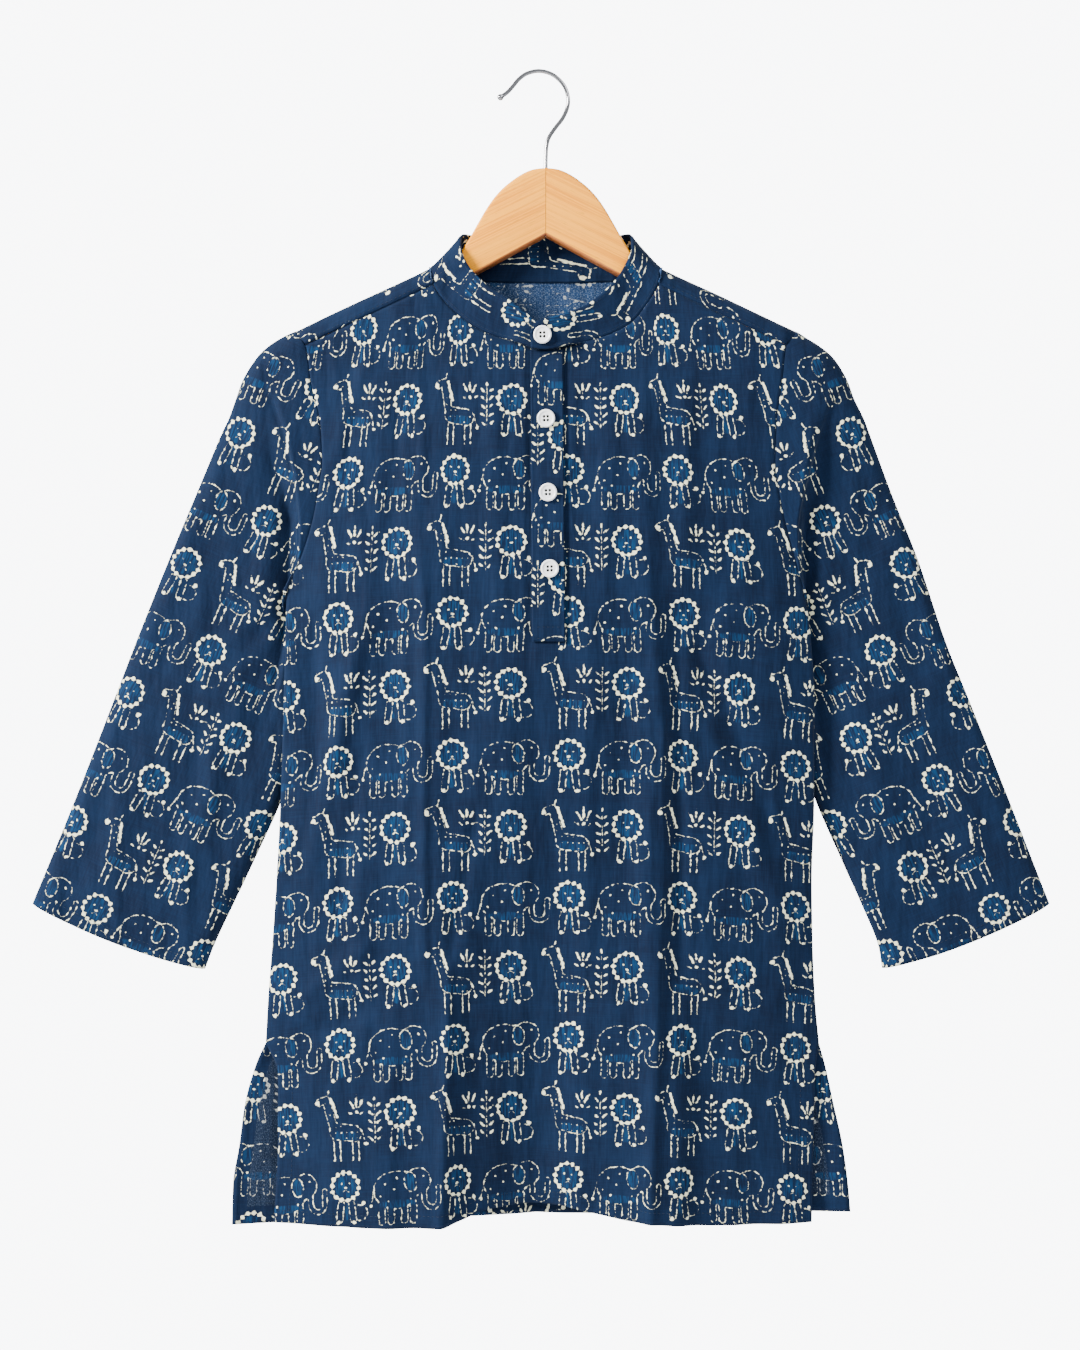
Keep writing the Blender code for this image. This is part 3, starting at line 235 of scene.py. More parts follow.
# Collar band: seam x, y, z and top edge x, y, z, from its under end round the back to its upper
COLLAR = (
    (9, -15.2, -172.4, 7, -16.4, -160), (-3, -15.4, -173.6, -3.5, -16.6, -158.6),
    (-13.6, -15.2, -170.6, -11.1, -16.4, -152.6), (-30.4, -14.4, -165.6, -24, -15.8, -142.4),
    (-42.3, -13.4, -160.6, -33, -14.8, -136.6), (-52.3, -12, -153.6, -41, -13.2, -129.6),
    (-62.3, -10.4, -144.1, -48, -11, -121.5), (-70.2, -9.1, -133.4, -52.4, -9.4, -111.9),
    (-72.5, -4.6, -121.9, -53.6, -4.6, -104.5), (-72.2, 0.4, -120.2, -53, 1.6, -99.5),
    (-70, 5.2, -121.4, -49, 7.4, -98.1), (-61, 7.6, -124.2, -40, 9.6, -99.8),
    (-40, 8.4, -125.6, -25, 9.4, -100.6), (0, 8.6, -126, 0, 8.4, -99.5),
    (40, 8.4, -125.6, 25, 9.4, -100.6), (61, 7.6, -124.2, 40, 9.6, -99.8),
    (70, 5.2, -121.4, 49.2, 7.4, -98.1), (72.2, 0.4, -120.2, 53.4, 1.6, -99.5),
    (72.2, -4.6, -121.9, 54, -4.6, -104.7), (69.7, -9.1, -133.8, 52.8, -9.4, -112.9),
    (61.6, -10.6, -147.2, 46.4, -11.2, -125.9), (54.5, -12.2, -155.8, 39.6, -13.6, -134.4),
    (45.1, -13.8, -161.8, 31, -15.4, -142.4), (35.7, -15.2, -165.5, 24.5, -16.6, -147),
    (22.6, -17, -169, 15.1, -17.9, -151.2), (10.8, -18.2, -171.8, 4, -18.7, -154.4),
    (-1, -18.6, -173.9, -3.4, -18.8, -156.2), (-9.4, -18.6, -174, -9.4, -18.8, -157.4),
)
COLLAR_CORNER = 6.5
COLLAR_END_FACE = -18.75            # depth of the collar's front face at its upper end
COLLAR_LAP_REACH = 20.0
COLLAR_STITCHES = (2.0, 2.2)        # their distances from the seam and from the top edge

# Placket
PLACKET_TOP = -175.4
PLACKET_TOP_CENTRE = 0.5
PLACKET_FOOT_CENTRE = 1.7
PLACKET_WIDTH = 20.0
PLACKET_FOOT = -355.5
PLACKET_RISE = 1.1                  # how far its band starts above its seam's level
PLACKET_TROUGH = 1.5                # depth to which the front sinks beside it
PLACKET_STITCHES = 1.9              # their distance from the band's edge
BOX_STITCHES = (2.0, 9.0)           # heights of the foot's stitches that cross the band
NOTCH_LEFT = -6.0
NOTCH_RIGHT = 8.0
NOTCH_FOOT = -349.0
UNDERLAP_WIDTH = 17.0

# Buttons: x, z
BUTTONS = ((-2.1, -165.7), (0.1, -217.4), (1.3, -263.3), (2.4, -310.4))
BUTTON_RADIUS = 5.6
BUTTON_THICKNESS = 2.2
BUTTON_DISH = 0.6
BUTTON_ROLL = 0.8                   # radius of its rounded rim
BUTTON_HOLE_RADIUS = 0.82
BUTTON_HOLE_SPACING = 1.15
BUTTON_HOLE_DEPTH = 1.1

# Hanger
HANGER_DEPTH = 11.0
HANGER_TOP_EDGE = 3.0
HANGER_UNDER_EDGE = 1.3
HANGER_HALF_SPAN = 160.0
HANGER_END_RADIUS = 9.5
HANGER_UNDER_TOP = -100.8
HANGER_UNDER_SLOPE = 0.548
HANGER_CLEARANCE = 2.5
HANGER_JOINT = 0.15
HANGER_CREST = (
    (0, -58.5), (8.1, -59.6), (14.7, -62.4), (20.8, -66.4), (26.9, -71.4), (32.5, -77.6),
    (37.6, -85), (42.6, -93.6), (47.7, -102.6), (53.3, -111.4), (58.4, -117.8), (64.5, -122.2),
)
WIRE_RADIUS = 1.25
WIRE_BORE_SLACK = 0.35
HOOK_ROUTE = (
    (-30.1, -14.7), (-24.2, -10.6), (-20.2, -6.2), (-16.8, -2.2), (-11.8, 1.3), (-4.7, 2.9),
    (2.4, 1.5), (7.7, -1.9), (11.9, -6.9), (14, -13.5), (13.6, -20), (10.6, -26.8), (5.8, -33.1),
    (2, -38.9), (0.5, -44.5), (0.1, -51), (0, -57.5), (0, -73.3),
)
HOOK_BALL_RADIUS = 2.0

# Sewing
STITCH_PITCH = 3.0
STITCH_LENGTH = 2.2
STITCH_INSET = 0.8                  # distance of a hem's stitches from its turned edge
THREAD_RADIUS = 0.17
NECK_OVERLAP = 0.4
SIDE_OVERLAP = 0.38                 # how far the front's edge sinks to meet the back
ARMHOLE_OVERLAP = 0.1               # how far a sleeve's edge lies inside the body's
ARMHOLE_GROOVE = 0.45               # depth to which the sleeve sinks at its seam
YOKE_STITCHES = 2.2                 # their distance from the yoke's front edge
HEM_DEPTH = 8.5
SLIT_FACING = 10.0
CUFF_HEM = 9.0

# Points of each piece's grid; a pair is rows and columns
NOTCH_ROWS = 72
FRONT_LOWER_ROWS = 177
FRONT_NECK_COLUMNS = 33
FRONT_SIDE_COLUMNS = 55
BACK_GRID = (190, 131)
YOKE_ROWS, YOKE_NECK_COLUMNS, YOKE_SHOULDER_COLUMNS = 46, 90, 33
SLEEVE_RINGS, CROWN_COLUMNS, ARMHOLE_COLUMNS = 158, 12, 61
COLLAR_GRID = (17, 260)
PLACKET_ROWS = 130

# Where each piece's cut lies on the printed cloth
PRINT_PLACE = {
    "front": (29.0, 14.0), "back": (31.0, 3.0), "yoke": (11.0, 4.0), "sleeve_left": (9.0, 5.0),
    "sleeve_right": (9.0, 5.0), "collar": (16.0, 0.0), "placket_top": (61.0, 37.0),
    "placket_under": (8.0, 20.0),
}

# Light
DAYLIGHT = 0.84
REAR_DAYLIGHT = 0.30
WALL_BRIGHTNESS = 9.0
CAMERA_DISTANCE = 1.3
VIEW_HEIGHT = 0.8471                # height of the view at the hanger's plane, in metres


def column(table, key, value):
    """Reads one column of a table at key, with a shape-keeping cubic between its rows."""
    rows = np.array(sorted(table), dtype=float)
    x, y = rows[:, 0], rows[:, value]
    step = np.diff(x)
    slope = np.diff(y) / step
    same_way = slope[:-1] * slope[1:] > 0
    mean = 2 * slope[:-1] * slope[1:] / np.where(same_way, slope[:-1] + slope[1:], 1)
    tangent = np.concatenate((slope[:1], np.where(same_way, mean, 0), slope[-1:]))
    key = np.clip(np.asarray(key, dtype=float), x[0], x[-1])
    i = np.clip(np.searchsorted(x, key) - 1, 0, len(x) - 2)
    t = (key - x[i]) / step[i]
    return (y[i] * (1 + 2 * t) * (1 - t) ** 2 + y[i + 1] * t * t * (3 - 2 * t)
            + step[i] * (tangent[i] * t * (1 - t) ** 2 + tangent[i + 1] * t * t * (t - 1)))


def evenly(count):
    """Shares from 0 to 1."""
    return np.linspace(0, 1, count)


def full_turn(count):
    """Equal angles once round."""
    return np.linspace(0, 2 * math.pi, count + 1)[:-1]


def xyz(*parts):
    """Coordinates of a shape, side by side in a last axis."""
    return np.stack(np.broadcast_arrays(*parts), axis=-1)


def unit(vectors):
    return vectors / np.linalg.norm(vectors, axis=-1, keepdims=True)


def lengths(points):
    """Path length at every point, along the last axis but one."""
    step = np.linalg.norm(np.diff(points, axis=-2), axis=-1)
    return np.concatenate((0 * step[..., :1], np.cumsum(step, axis=-1)), axis=-1)


def at_lengths(at, run, points):
    """Places at some path lengths of a route whose points lie at lengths run."""
    return np.stack([np.interp(at, run, points[:, k]) for k in range(points.shape[1])], axis=-1)


def path_points(route, fractions):
    """Points of a smooth route at fractions of its length (Catmull-Rom through its points)."""
    points = np.array(route, dtype=float)
    ends = np.vstack((2 * points[0] - points[1], points, 2 * points[-1] - points[-2]))
    t = evenly(9)[:-1, None]
    fine = [0.5 * (2 * b + (c - a) * t + (2 * a - 5 * b + 4 * c - d) * t ** 2
                   + (3 * b - a - 3 * c + d) * t ** 3)
            for a, b, c, d in zip(ends, ends[1:], ends[2:], ends[3:])]
    fine = np.vstack(fine + [points[-1:]])
    run = lengths(fine)
    return at_lengths(np.asarray(fractions) * run[-1], run, fine)


def smoothstep(low, high, value):
    t = np.clip((value - low) / (high - low), 0, 1)
    return t * t * (3 - 2 * t)


def bell(value, middle, width):
    """Soft bump of height 1 about a middle."""
    return np.exp(-((value - middle) / width) ** 2)


def quarter_round(distance, radius):
    """Quarter circle: 0 at the edge, 1 from the radius inwards."""
    return np.sqrt(1 - (1 - np.clip(distance / radius, 0, 1)) ** 2)


def ridge(x):
    """Height of the shoulder line over the hanger."""
    return RIDGE_TOP - RIDGE_SLOPE * np.maximum(0, np.abs(x) - NECK_HALF_WIDTH)


def shoulder_foot(x):
    """Height at which the shoulder fold ends, in front and behind."""
    return ridge(x) - SHOULDER_FOLD_HEIGHT


def half_width(way, z, side):
    """Half width of a panel at height z, on the left or right by the sign of way."""
    left = np.asarray(way) < 0
    body, below = (np.where(left, column(table, z, 1), column(table, z, 2))
                   for table in (BODY_WIDTH, FLAP_WIDTH[side]))
    return np.where(np.asarray(z) < SLIT_TOP, below, body)


def fold_height(folds, x, z):
    """Sum of the soft ridges and troughs of a fold table at x, z."""
    total = np.zeros(np.broadcast(x, z).shape)
    for x0, z0, x1, z1, half, first, last in folds:
        run_x, run_z = x1 - x0, z1 - z0
        length = math.hypot(run_x, run_z)
        along = ((x - x0) * run_x + (z - z0) * run_z) / length ** 2
        across = ((x - x0) * run_z - (z - z0) * run_x) / length
        fade = smoothstep(-0.05, 0.15, along) * (1 - smoothstep(0.9, 1.1, along))
        height = first + (last - first) * np.clip(along, 0, 1)
        total = total + height * fade * bell(across, 0, half)
    return total


def spread(x, z, side):
    """Share of the way out to a panel's edge, and how far the cloth has settled there."""
    reach = np.clip(np.abs(x) / half_width(x, z, side), 0, 1)
    return reach, 1 - np.exp(-np.maximum(0, shoulder_foot(x) - z) / SETTLE)


def panel_depth(x, z, side):
    """Depth of a solid panel's outer face from the hanger's plane."""
    reach, settled = spread(x, z, side)
    edge = column(ARMHOLE_DEPTH, z, side)
    depth = edge + (column(CENTRE_DEPTH, z, side) - edge) * (1 - reach ** BELLY_POWER) * settled
    return depth + fold_height(FOLDS[side], x, z) * (1 - reach ** 6) * settled


def placket_centre(z):
    lean = (PLACKET_FOOT_CENTRE - PLACKET_TOP_CENTRE) / (PLACKET_FOOT - PLACKET_TOP)
    return PLACKET_TOP_CENTRE + lean * (z - PLACKET_TOP)


def face_depth(x, z, side):
    """Depth of a panel's visible face: the solid's, with finer folds and unevenness."""
    reach, settled = spread(x, z, side)
    free = settled * (1 - reach ** 8)
    creases = fold_height(CREASES[side], x, z)
    if side == BACK:
        return panel_depth(x, z, side) + (creases + crumple(x + 400, z, 0.5)) * free
    free = free * smoothstep(11, 20, np.abs(x - 1) + 60 * smoothstep(-350, -375, z))
    trough = bell(np.abs(x - placket_centre(z)), PLACKET_WIDTH / 2 + 1, 1.7)
    trough = trough * smoothstep(PLACKET_FOOT - 6, PLACKET_FOOT + 6, z) * settled
    return panel_depth(x, z, side) + (creases + crumple(x, z, 0.8)) * free - PLACKET_TROUGH * trough


def shoulder_point(x, path):
    """Point of the yoke at x, path millimetres from its front seam over the ridge."""
    angle = np.clip(path / FOLD_PATH, 0, 1) * math.pi - math.pi / 2
    z = shoulder_foot(x) + SHOULDER_FOLD_HEIGHT * np.cos(angle) - np.maximum(0, path - FOLD_PATH)
    over = SHOULDER_HALF_DEPTH * np.sin(angle)
    return xyz(x, np.where(path < FOLD_PATH, over, panel_depth(x, z, BACK)), z)


def column_x(share, z):
    """The front's columns keep their place near the middle and follow its edge further out."""
    stretch = half_width(share, z, FRONT) - REFERENCE_WIDTH
    return share * REFERENCE_WIDTH + np.sign(share) * stretch * smoothstep(0.45, 1, np.abs(share))


def front_top(x):
    """Height of the front's upper edge: the yoke's seam outside, the neckline inside."""
    inside = np.abs(x) < NECK_HALF_WIDTH
    return np.where(inside, column(NECKLINE, x, 1), shoulder_foot(x)) - SEAM_GAP


class Nodes:
    """Builds the nodes of a material or world; its methods return the new node's output."""

    def __init__(self, owner):
        owner.use_nodes = True
        self.owner, self.tree = owner, owner.node_tree

    def put(self, node, inputs):
        for key, value in inputs.items():
            if isinstance(value, bpy.types.NodeSocket):
                self.tree.links.new(value, node.inputs[key])
            else:
                rgb = node.inputs[key].type == "RGBA" and len(value) == 3
                node.inputs[key].default_value = (*value, 1) if rgb else value

    def node(self, kind, inputs=(), output=0, **settings):
        node = self.tree.nodes.new("ShaderNode" + kind)
        for key, value in settings.items():
            setattr(node, key, value)
        self.put(node, dict(inputs))
        return node.outputs[output]

    def paint(self, inputs):
        """Sets the shader's inputs and returns the finished material."""
        self.put(self.tree.nodes["Principled BSDF"], inputs)
        return self.owner

    def here(self):
        return self.node("TexCoord", output="Object")

    def math(self, operation, *values, clamp=False):
        return self.node("Math", dict(enumerate(values)), operation=operation, use_clamp=clamp)

    add = partialmethod(math, "ADD")
    sub = partialmethod(math, "SUBTRACT")
    mul = partialmethod(math, "MULTIPLY")
    mad = partialmethod(math, "MULTIPLY_ADD")
    size = partialmethod(math, "ABSOLUTE")
    most = partialmethod(math, "MAXIMUM")
    merge = partialmethod(math, "SMOOTH_MIN")

    def least(self, *values):
        total = values[0]
        for value in values[1:]:
            total = self.math("MINIMUM", total, value)
        return total

    def vector(self, operation, *values, output=0):
        return self.node("VectorMath", dict(enumerate(values)), output, operation=operation)

    def scale(self, vector, factor):
        return self.node("VectorMath", {0: vector, "Scale": factor}, operation="SCALE")

    def noise(self, vector, scale, detail=2, roughness=0.5, output="Fac"):
        if isinstance(scale, tuple):
            vector, scale = self.vector("MULTIPLY", vector, scale), 1
        return self.node("TexNoise", {"Vector": vector, "Scale": scale, "Detail": detail,
                                      "Roughness": roughness}, output)

    def ramp(self, value, low, high):
        """Smooth step from 0 at low to 1 at high."""
        return self.node("MapRange", {"Value": value, "From Min": low, "From Max": high},
                         interpolation_type="SMOOTHSTEP")

    def blend(self, factor, a, b):
        return self.node("Mix", {0: factor, 6: a, 7: b}, 2, data_type="RGBA")

    def bump(self, height, strength, distance, **normal):
        return self.node("Bump", {"Height": height, "Strength": strength, "Distance": distance,
                                  **normal})

    def parts(self, vector):
        x = self.node("SeparateXYZ", {0: vector})
        return x, x.node.outputs[1]

    def join(self, x, y):
        return self.node("CombineXYZ", {0: x, 1: y})

    def dots(self, at, places, radius):
        """Distance outside the nearest of some equal discs."""
        gaps = [self.vector("DISTANCE", at, (x, y, 0), output="Value") for x, y in places]
        return self.sub(self.least(*gaps), radius)

    def disc(self, at, x, y, radius):
        return self.dots(at, ((x, y),), radius)

    def bar(self, at, start, end, radius):
        """Distance outside a round-ended bar between two points."""
        run = np.subtract(end, start)
        reach = self.vector("SUBTRACT", at, (*start, 0))
        share = self.vector("DOT_PRODUCT", reach, (*(run / run.dot(run)), 0), output="Value")
        foot = self.scale((*run, 0), self.math("ADD", share, 0, clamp=True))
        return self.sub(self.vector("DISTANCE", reach, foot, output="Value"), radius)

    def oval(self, at, centre, radii, turn=0):
        """Distance outside an ellipse, from its unit circle and its smaller radius."""
        local = self.node("Mapping", {"Vector": at, "Location": (*centre, 0),
                                      "Rotation": (0, 0, math.radians(turn)),
                                      "Scale": (*radii, 1)}, vector_type="TEXTURE")
        return self.mad(self.vector("LENGTH", local, output="Value"), min(radii), -min(radii))

    def line(self, distance, half):
        """Distance outside a line drawn along a shape's outline."""
        return self.sub(self.size(distance), half)

    def ring(self, at, x, y, radius, half):
        return self.line(self.disc(at, x, y, radius), half)

    def twin(self, value, middle, reach=0):
        """Folds a coordinate about its middle, so that one shape stands on both sides."""
        return self.line(self.sub(value, middle), reach)


# Print: one repeat of the cloth, in millimetres, and its colours (linear)
REPEAT = (73, 88)
HALF_REPEAT = REPEAT[0] / 2
ROW = REPEAT[1] / 2
GROUND = (0.0007, 0.0074, 0.0270)
GROUND_DEEP = (0.0004, 0.0046, 0.0190)
SLUB = (0.0022, 0.0150, 0.0480)
WASH = (0.0012, 0.0330, 0.0950)
CREAM = (0.770, 0.755, 0.530)
REVERSE_GROUND = (0.0030, 0.0120, 0.0360)
REVERSE_THREAD = (0.160, 0.210, 0.300)
REVERSE_CREAM = (0.560, 0.570, 0.520)
LINE = 0.46


def elephant(n, at):
    """Side view to the right: body, head and ear are ovals, four legs one bar folded twice."""
    x, y = n.parts(at)
    body = n.merge(n.oval(at, (-5.2, 3.2), (14, 11.6)), n.disc(at, 9, 8.2, 7.6), 4)
    legs = n.join(n.twin(n.twin(x, -4.8), 7, 2.8), y)
    body = n.merge(body, n.bar(legs, (0, -5), (0, -15.8), 2), 1)
    trunk = n.least(n.most(n.ring(at, 17, -3.4, 4.7, 1.5), n.add(y, 3.4)),
                    n.bar(at, (21.7, -3.4), (21.9, 4.4), 1.5),
                    n.bar(at, (12.3, -3.4), (12.2, 6), 1.5))
    body = n.merge(body, trunk, 1.2)
    ear = n.oval(at, (3.8, 7.4), (3.7, 6), 8)
    spots = n.dots(at, ((12, 10.8), (-4.6, 10.6), (-11.8, 7.6), (-15, 0.2), (-6.4, 3.6),
                        (-10.2, -3.4), (3.6, -3)), 0.85)
    lines = n.least(n.line(body, LINE), n.line(ear, 0.42), spots,
                    n.bar(at, (-18.8, 5), (-21.2, -4.4), 0.5), n.disc(at, -21.4, -6, 1.3))
    return lines, n.least(n.add(ear, 0.4), n.oval(at, (-4.6, -5.4), (11, 2.4)))


def giraffe(n, at):
    """Side view to the left: bars for body, neck and head, four legs one bar folded twice."""
    x, y = n.parts(at)
    body = n.merge(n.bar(at, (-2.4, -3), (8, -4.6), 5),
                   n.bar(at, (-4.8, 0), (-8.8, 15.6), 2.5), 2)
    body = n.merge(body, n.bar(at, (-9.2, 17.4), (-13.6, 15.8), 2.2), 1)
    legs = n.join(n.twin(n.twin(x, 3), 5.9, 2), y)
    mane = n.bar(at, (-6.1, 17.8), (-2.4, 6.4), 1.15)
    spots = n.disc(n.vector("WRAP", at, (1.7, 1.9, 1), (-1.7, -1.9, -1)), 0, 0, 0.55)
    lines = n.least(n.line(body, LINE), n.bar(legs, (0, -8.6), (0, -21), 0.6), mane,
                    n.most(spots, n.add(body, 1.2)), n.disc(at, -14.8, 15.2, 1.9),
                    n.bar(at, (-8.2, 20), (-7.2, 22.8), 0.6),
                    n.bar(at, (13, -2.6), (15.2, -10), 0.5), n.disc(at, 15.4, -11.2, 1.4))
    return lines, n.bar(at, (-2.4, -5.4), (8, -6.4), 2.6)


def lion(n, at):
    """Front view: petals round a face, drawn by a wave in the angle, and two legs by folding."""
    x, y = n.parts(at)
    wave = n.math("SINE", n.mul(n.math("ARCTAN2", n.sub(y, 6.8), x), 14))
    mane = n.add(n.size(n.disc(at, 0, 6.8, 8.7)), n.mad(wave, 0.60, -1.15))
    half = n.join(n.size(x), y)
    legs = n.most(n.line(n.bar(half, (3.4, -4), (4.6, -13.8), 2), 0.5), n.add(y, 2.2))
    tail = n.most(n.ring(at, 8.8, -9.6, 4.8, 0.42), n.sub(7.6, x))
    lines = n.least(mane, legs, tail, n.disc(half, 5.2, -15.4, 1.5), n.disc(at, 11.2, -3.9, 1.6),
                    n.disc(half, 2.5, 8.6, 0.75), n.oval(at, (0, 5.6), (1.5, 0.95)),
                    n.bar(half, (0.2, 4.2), (2, 3), 0.4))
    return lines, n.least(n.disc(at, 0, 6.8, 6.9), n.bar(at, (0, -4), (0, -12), 1.9))


def sprig(n, at):
    """Upright stem with leaf pairs: one leaf, folded about the stem and repeated up it."""
    x, y = n.parts(at)
    leaf = n.oval(n.join(n.size(x), n.math("WRAP", y, 2.6, -2.6)), (2.6, 0.2), (2.4, 0.95), 38)
    return n.least(n.most(leaf, n.line(y, 12.8)), n.bar(at, (0, -13.4), (0, 12), 0.4),
                   n.oval(at, (0, 14.4), (0.9, 1.8)))


def tuft(n, at):
    """Low plant: three leaves fanned from one foot."""
    x, y = n.parts(at)
    half = n.join(n.size(x), y)
    return n.least(n.oval(half, (2.9, 0.8), (1.05, 4.2), -28), n.oval(at, (0, 2.2), (1, 4.6)),
                   n.oval(half, (3.9, -4.6), (0.8, 2), -64), n.disc(at, 0, -4.2, 1.3))


def repeat_print(n, at):
    """Both rows of the repeat: the distance outside its lines and outside its washes.

    The rows lie half a repeat apart; the lion comes in both, moved half a repeat across.
    """
    def cell(x, y):
        """Place within the repeat, measured from the motif's own middle."""
        moved = n.vector("SUBTRACT", at, (x, y, 0))
        return n.vector("WRAP", moved, (HALF_REPEAT, ROW, 1), (-HALF_REPEAT, -ROW, -1))

    across, up = n.parts(at)
    row = n.math("FLOOR", n.math("DIVIDE", up, ROW))
    level = n.sub(n.math("FLOORED_MODULO", up, ROW), ROW / 2)
    along = n.sub(n.add(across, n.mul(row, HALF_REPEAT)), HALF_REPEAT - 1)
    beast, beast_wash = elephant(n, cell(0, ROW / 2))
    tall, tall_wash = giraffe(n, cell(HALF_REPEAT - 2, -ROW / 2))
    cat, cat_wash = lion(n, n.join(n.math("WRAP", along, HALF_REPEAT, -HALF_REPEAT), level))
    plant = sprig(n, cell(HALF_REPEAT + 19.5, 2 - ROW / 2))
    low = tuft(n, cell(HALF_REPEAT + 8, 12.5 - ROW / 2))
    return n.least(beast, tall, cat, plant, low), n.least(beast_wash, tall_wash, cat_wash)


def printed_cloth(name, fade_and_painted_light=None):
    """Indigo cotton: a resist print with broken edges, uneven dye, slubs and a plain weave.

    The print is worked out from distances to its lines, in millimetres on the cut; its wrong side
    is paler, with the lines washed out and the threads showing. fade_and_painted_light sets how
    far:
    partly fading, partly painted light, as the yoke's wrong side is painted lighter than the
    panels'.
    """
    n = Nodes(bpy.data.materials.new(name))
    cut = n.scale(n.node("UVMap", uv_map="cut"), 1000)
    drift = n.vector("SUBTRACT", n.noise(cut, 0.35, output="Color"), (0.5, 0.5, 0.5))
    lines, washes = repeat_print(n, n.vector("MULTIPLY_ADD", drift, (1.4, 1.4, 0), cut))
    fibre = n.noise(cut, 2.6, 1)
    edge = n.mad(fibre, 0.3, n.mad(n.noise(cut, 0.42), 2.2, -0.84))
    resist = n.ramp(n.add(lines, edge), 0.18, -0.18)
    streaks = n.ramp(n.noise(cut, (0.9, 0.09, 1), 3), 0.40, 0.66)
    slubs = n.add(n.noise(cut, (0.055, 1.3, 1)), n.noise(cut, (1.3, 0.05, 1)))
    if fade_and_painted_light:
        ground = np.multiply(fade_and_painted_light, REVERSE_GROUND)
        speck = n.ramp(n.noise(cut, (2.4, 0.9, 1), 3), 0.50, 0.64)
        colour = n.blend(n.ramp(slubs, 0.75, 1.25), ground, 1.5 * ground)
        colour = n.blend(n.mul(speck, 0.36 * fade_and_painted_light), colour, REVERSE_THREAD)
        resist = n.mul(resist, n.ramp(fibre, 0.34, 0.66))
    else:
        colour = n.blend(n.ramp(n.noise(cut, 0.035, 3, 0.6), 0.35, 0.65), GROUND_DEEP, GROUND)
        colour = n.blend(n.mul(n.ramp(slubs, 0.8, 1.25), 0.28), colour, SLUB)
    colour = n.blend(n.mul(n.mul(n.ramp(washes, 0.5, -0.5), streaks), 0.75), colour, WASH)
    colour = n.blend(resist, colour, REVERSE_CREAM if fade_and_painted_light else CREAM)
    weft, warp = (n.math("SINE", n.mul(part, 14)) for part in n.parts(cut))
    place = n.here()
    creases = n.add(n.noise(place, (62, 62, 15), 3), n.noise(place, (24, 24, 7)))
    relief = n.mad(n.mul(weft, warp), 0.3, slubs)
    relief = n.bump(relief, 0.22, 0.0004, Normal=n.bump(creases, 1, 0.0036))
    return n.paint({"Base Color": colour, "Normal": relief, "Roughness": n.mad(resist, 0.08, 0.80),
                    "Specular IOR Level": 0.10, "Sheen Weight": 0.04, "Sheen Roughness": 0.55,
                    "Sheen Tint": (0.55, 0.68, 0.9)})


def mix(a, b, share):
    return a + (b - a) * share


def quads(i, j, wide):
    """Corners of the faces at rows i and columns j of a grid that is wide points across."""
    k = (j + 1) % wide
    return np.stack((i * wide + j, (i + 1) * wide + j, (i + 1) * wide + k, i * wide + k), axis=-1)


def add_object(name, data):
    obj = bpy.data.objects.new(name, data)
    bpy.context.scene.collection.objects.link(obj)
    return obj


def surface(name, points, faces):
    """Smooth object of quads, from points in millimetres."""
    mesh = bpy.data.meshes.new(name)
    mesh.vertices.add(len(points))
    mesh.vertices.foreach_set("co", ((points + ROOT_PLACE) * MM).ravel())
    mesh.loops.add(faces.size)
    mesh.loops.foreach_set("vertex_index", faces.astype(np.int32).ravel())
    mesh.polygons.add(len(faces))
    mesh.polygons.foreach_set("loop_start", np.arange(0, faces.size, 4, dtype=np.int32))
    mesh.polygons.foreach_set("use_smooth", np.ones(len(faces), dtype=bool))
    mesh.update(calc_edges=True)
    return add_object(name, mesh)


def mark(obj, materials):
    """Sets the material number of every face."""
    obj.data.polygons.foreach_set("material_index", materials.astype(np.int32).ravel())


def cloth_shell(piece, points, cut, wall=CLOTH_WALL, keep=None, turned=None):
    """Shell of a wall's thickness inside a grid of points, with its flat cut as a UV map.

    A cut with one column more than the points closes them to a tube. keep masks the faces that
    exist, turned those that show the right side on their inner face.
    """
    wide = cut.shape[1]
    i, j = np.meshgrid(np.arange(len(points) - 1), np.arange(wide - 1), indexing="ij")
    keep = np.ones(i.shape, dtype=bool) if keep is None else keep
    used, corners = np.unique(quads(i, j, points.shape[1])[keep], return_inverse=True)
    obj = surface(piece + "_cloth", points.reshape(-1, 3)[used], corners.reshape(-1, 4))
    flat = (cut + PRINT_PLACE[piece]).reshape(-1, 2)[quads(i, j, wide)[keep]]
    obj.data.uv_layers.new(name="cut").uv.foreach_set("vector", (flat * MM).ravel())
    if turned is not None:
        mark(obj, 2 * turned[keep])
    solidify = obj.modifiers.new("Wall", "SOLIDIFY")
    solidify.thickness = wall * MM
    solidify.offset = -1
    solidify.material_offset = 1
    return obj


def sewn_edge(distance, along, width):
    """Height of a turned and stitched edge: a band, a groove at the stitches and small puckers."""
    band = 0.40 * (1 - smoothstep(width - 0.4, width + 1, distance))
    groove = 0.38 * bell(distance, width - STITCH_INSET, 0.9)
    ripple = np.sin(along / 2.9 + 1.3 * np.sin(along / 17)) + 0.6 * np.sin(along / 6.1 + 0.7)
    return band - groove + 0.16 * bell(distance, width, 0.8 * width) * ripple


def crumple(x, z, size):
    """Slight unevenness of hanging cloth: a few long crossing waves."""
    waves = ((0.045, 0.011, 0.3), (-0.031, 0.019, 1.7), (0.083, -0.013, 2.9), (0.021, 0.037, 4.1),
             (-0.120, 0.024, 0.9), (0.061, 0.052, 5.3))
    total = sum(np.sin(a * x + b * z + c + 0.8 * np.sin(0.013 * z + 0.017 * x + c))
                for a, b, c in waves)
    return size * total / 3


seam_lines = []


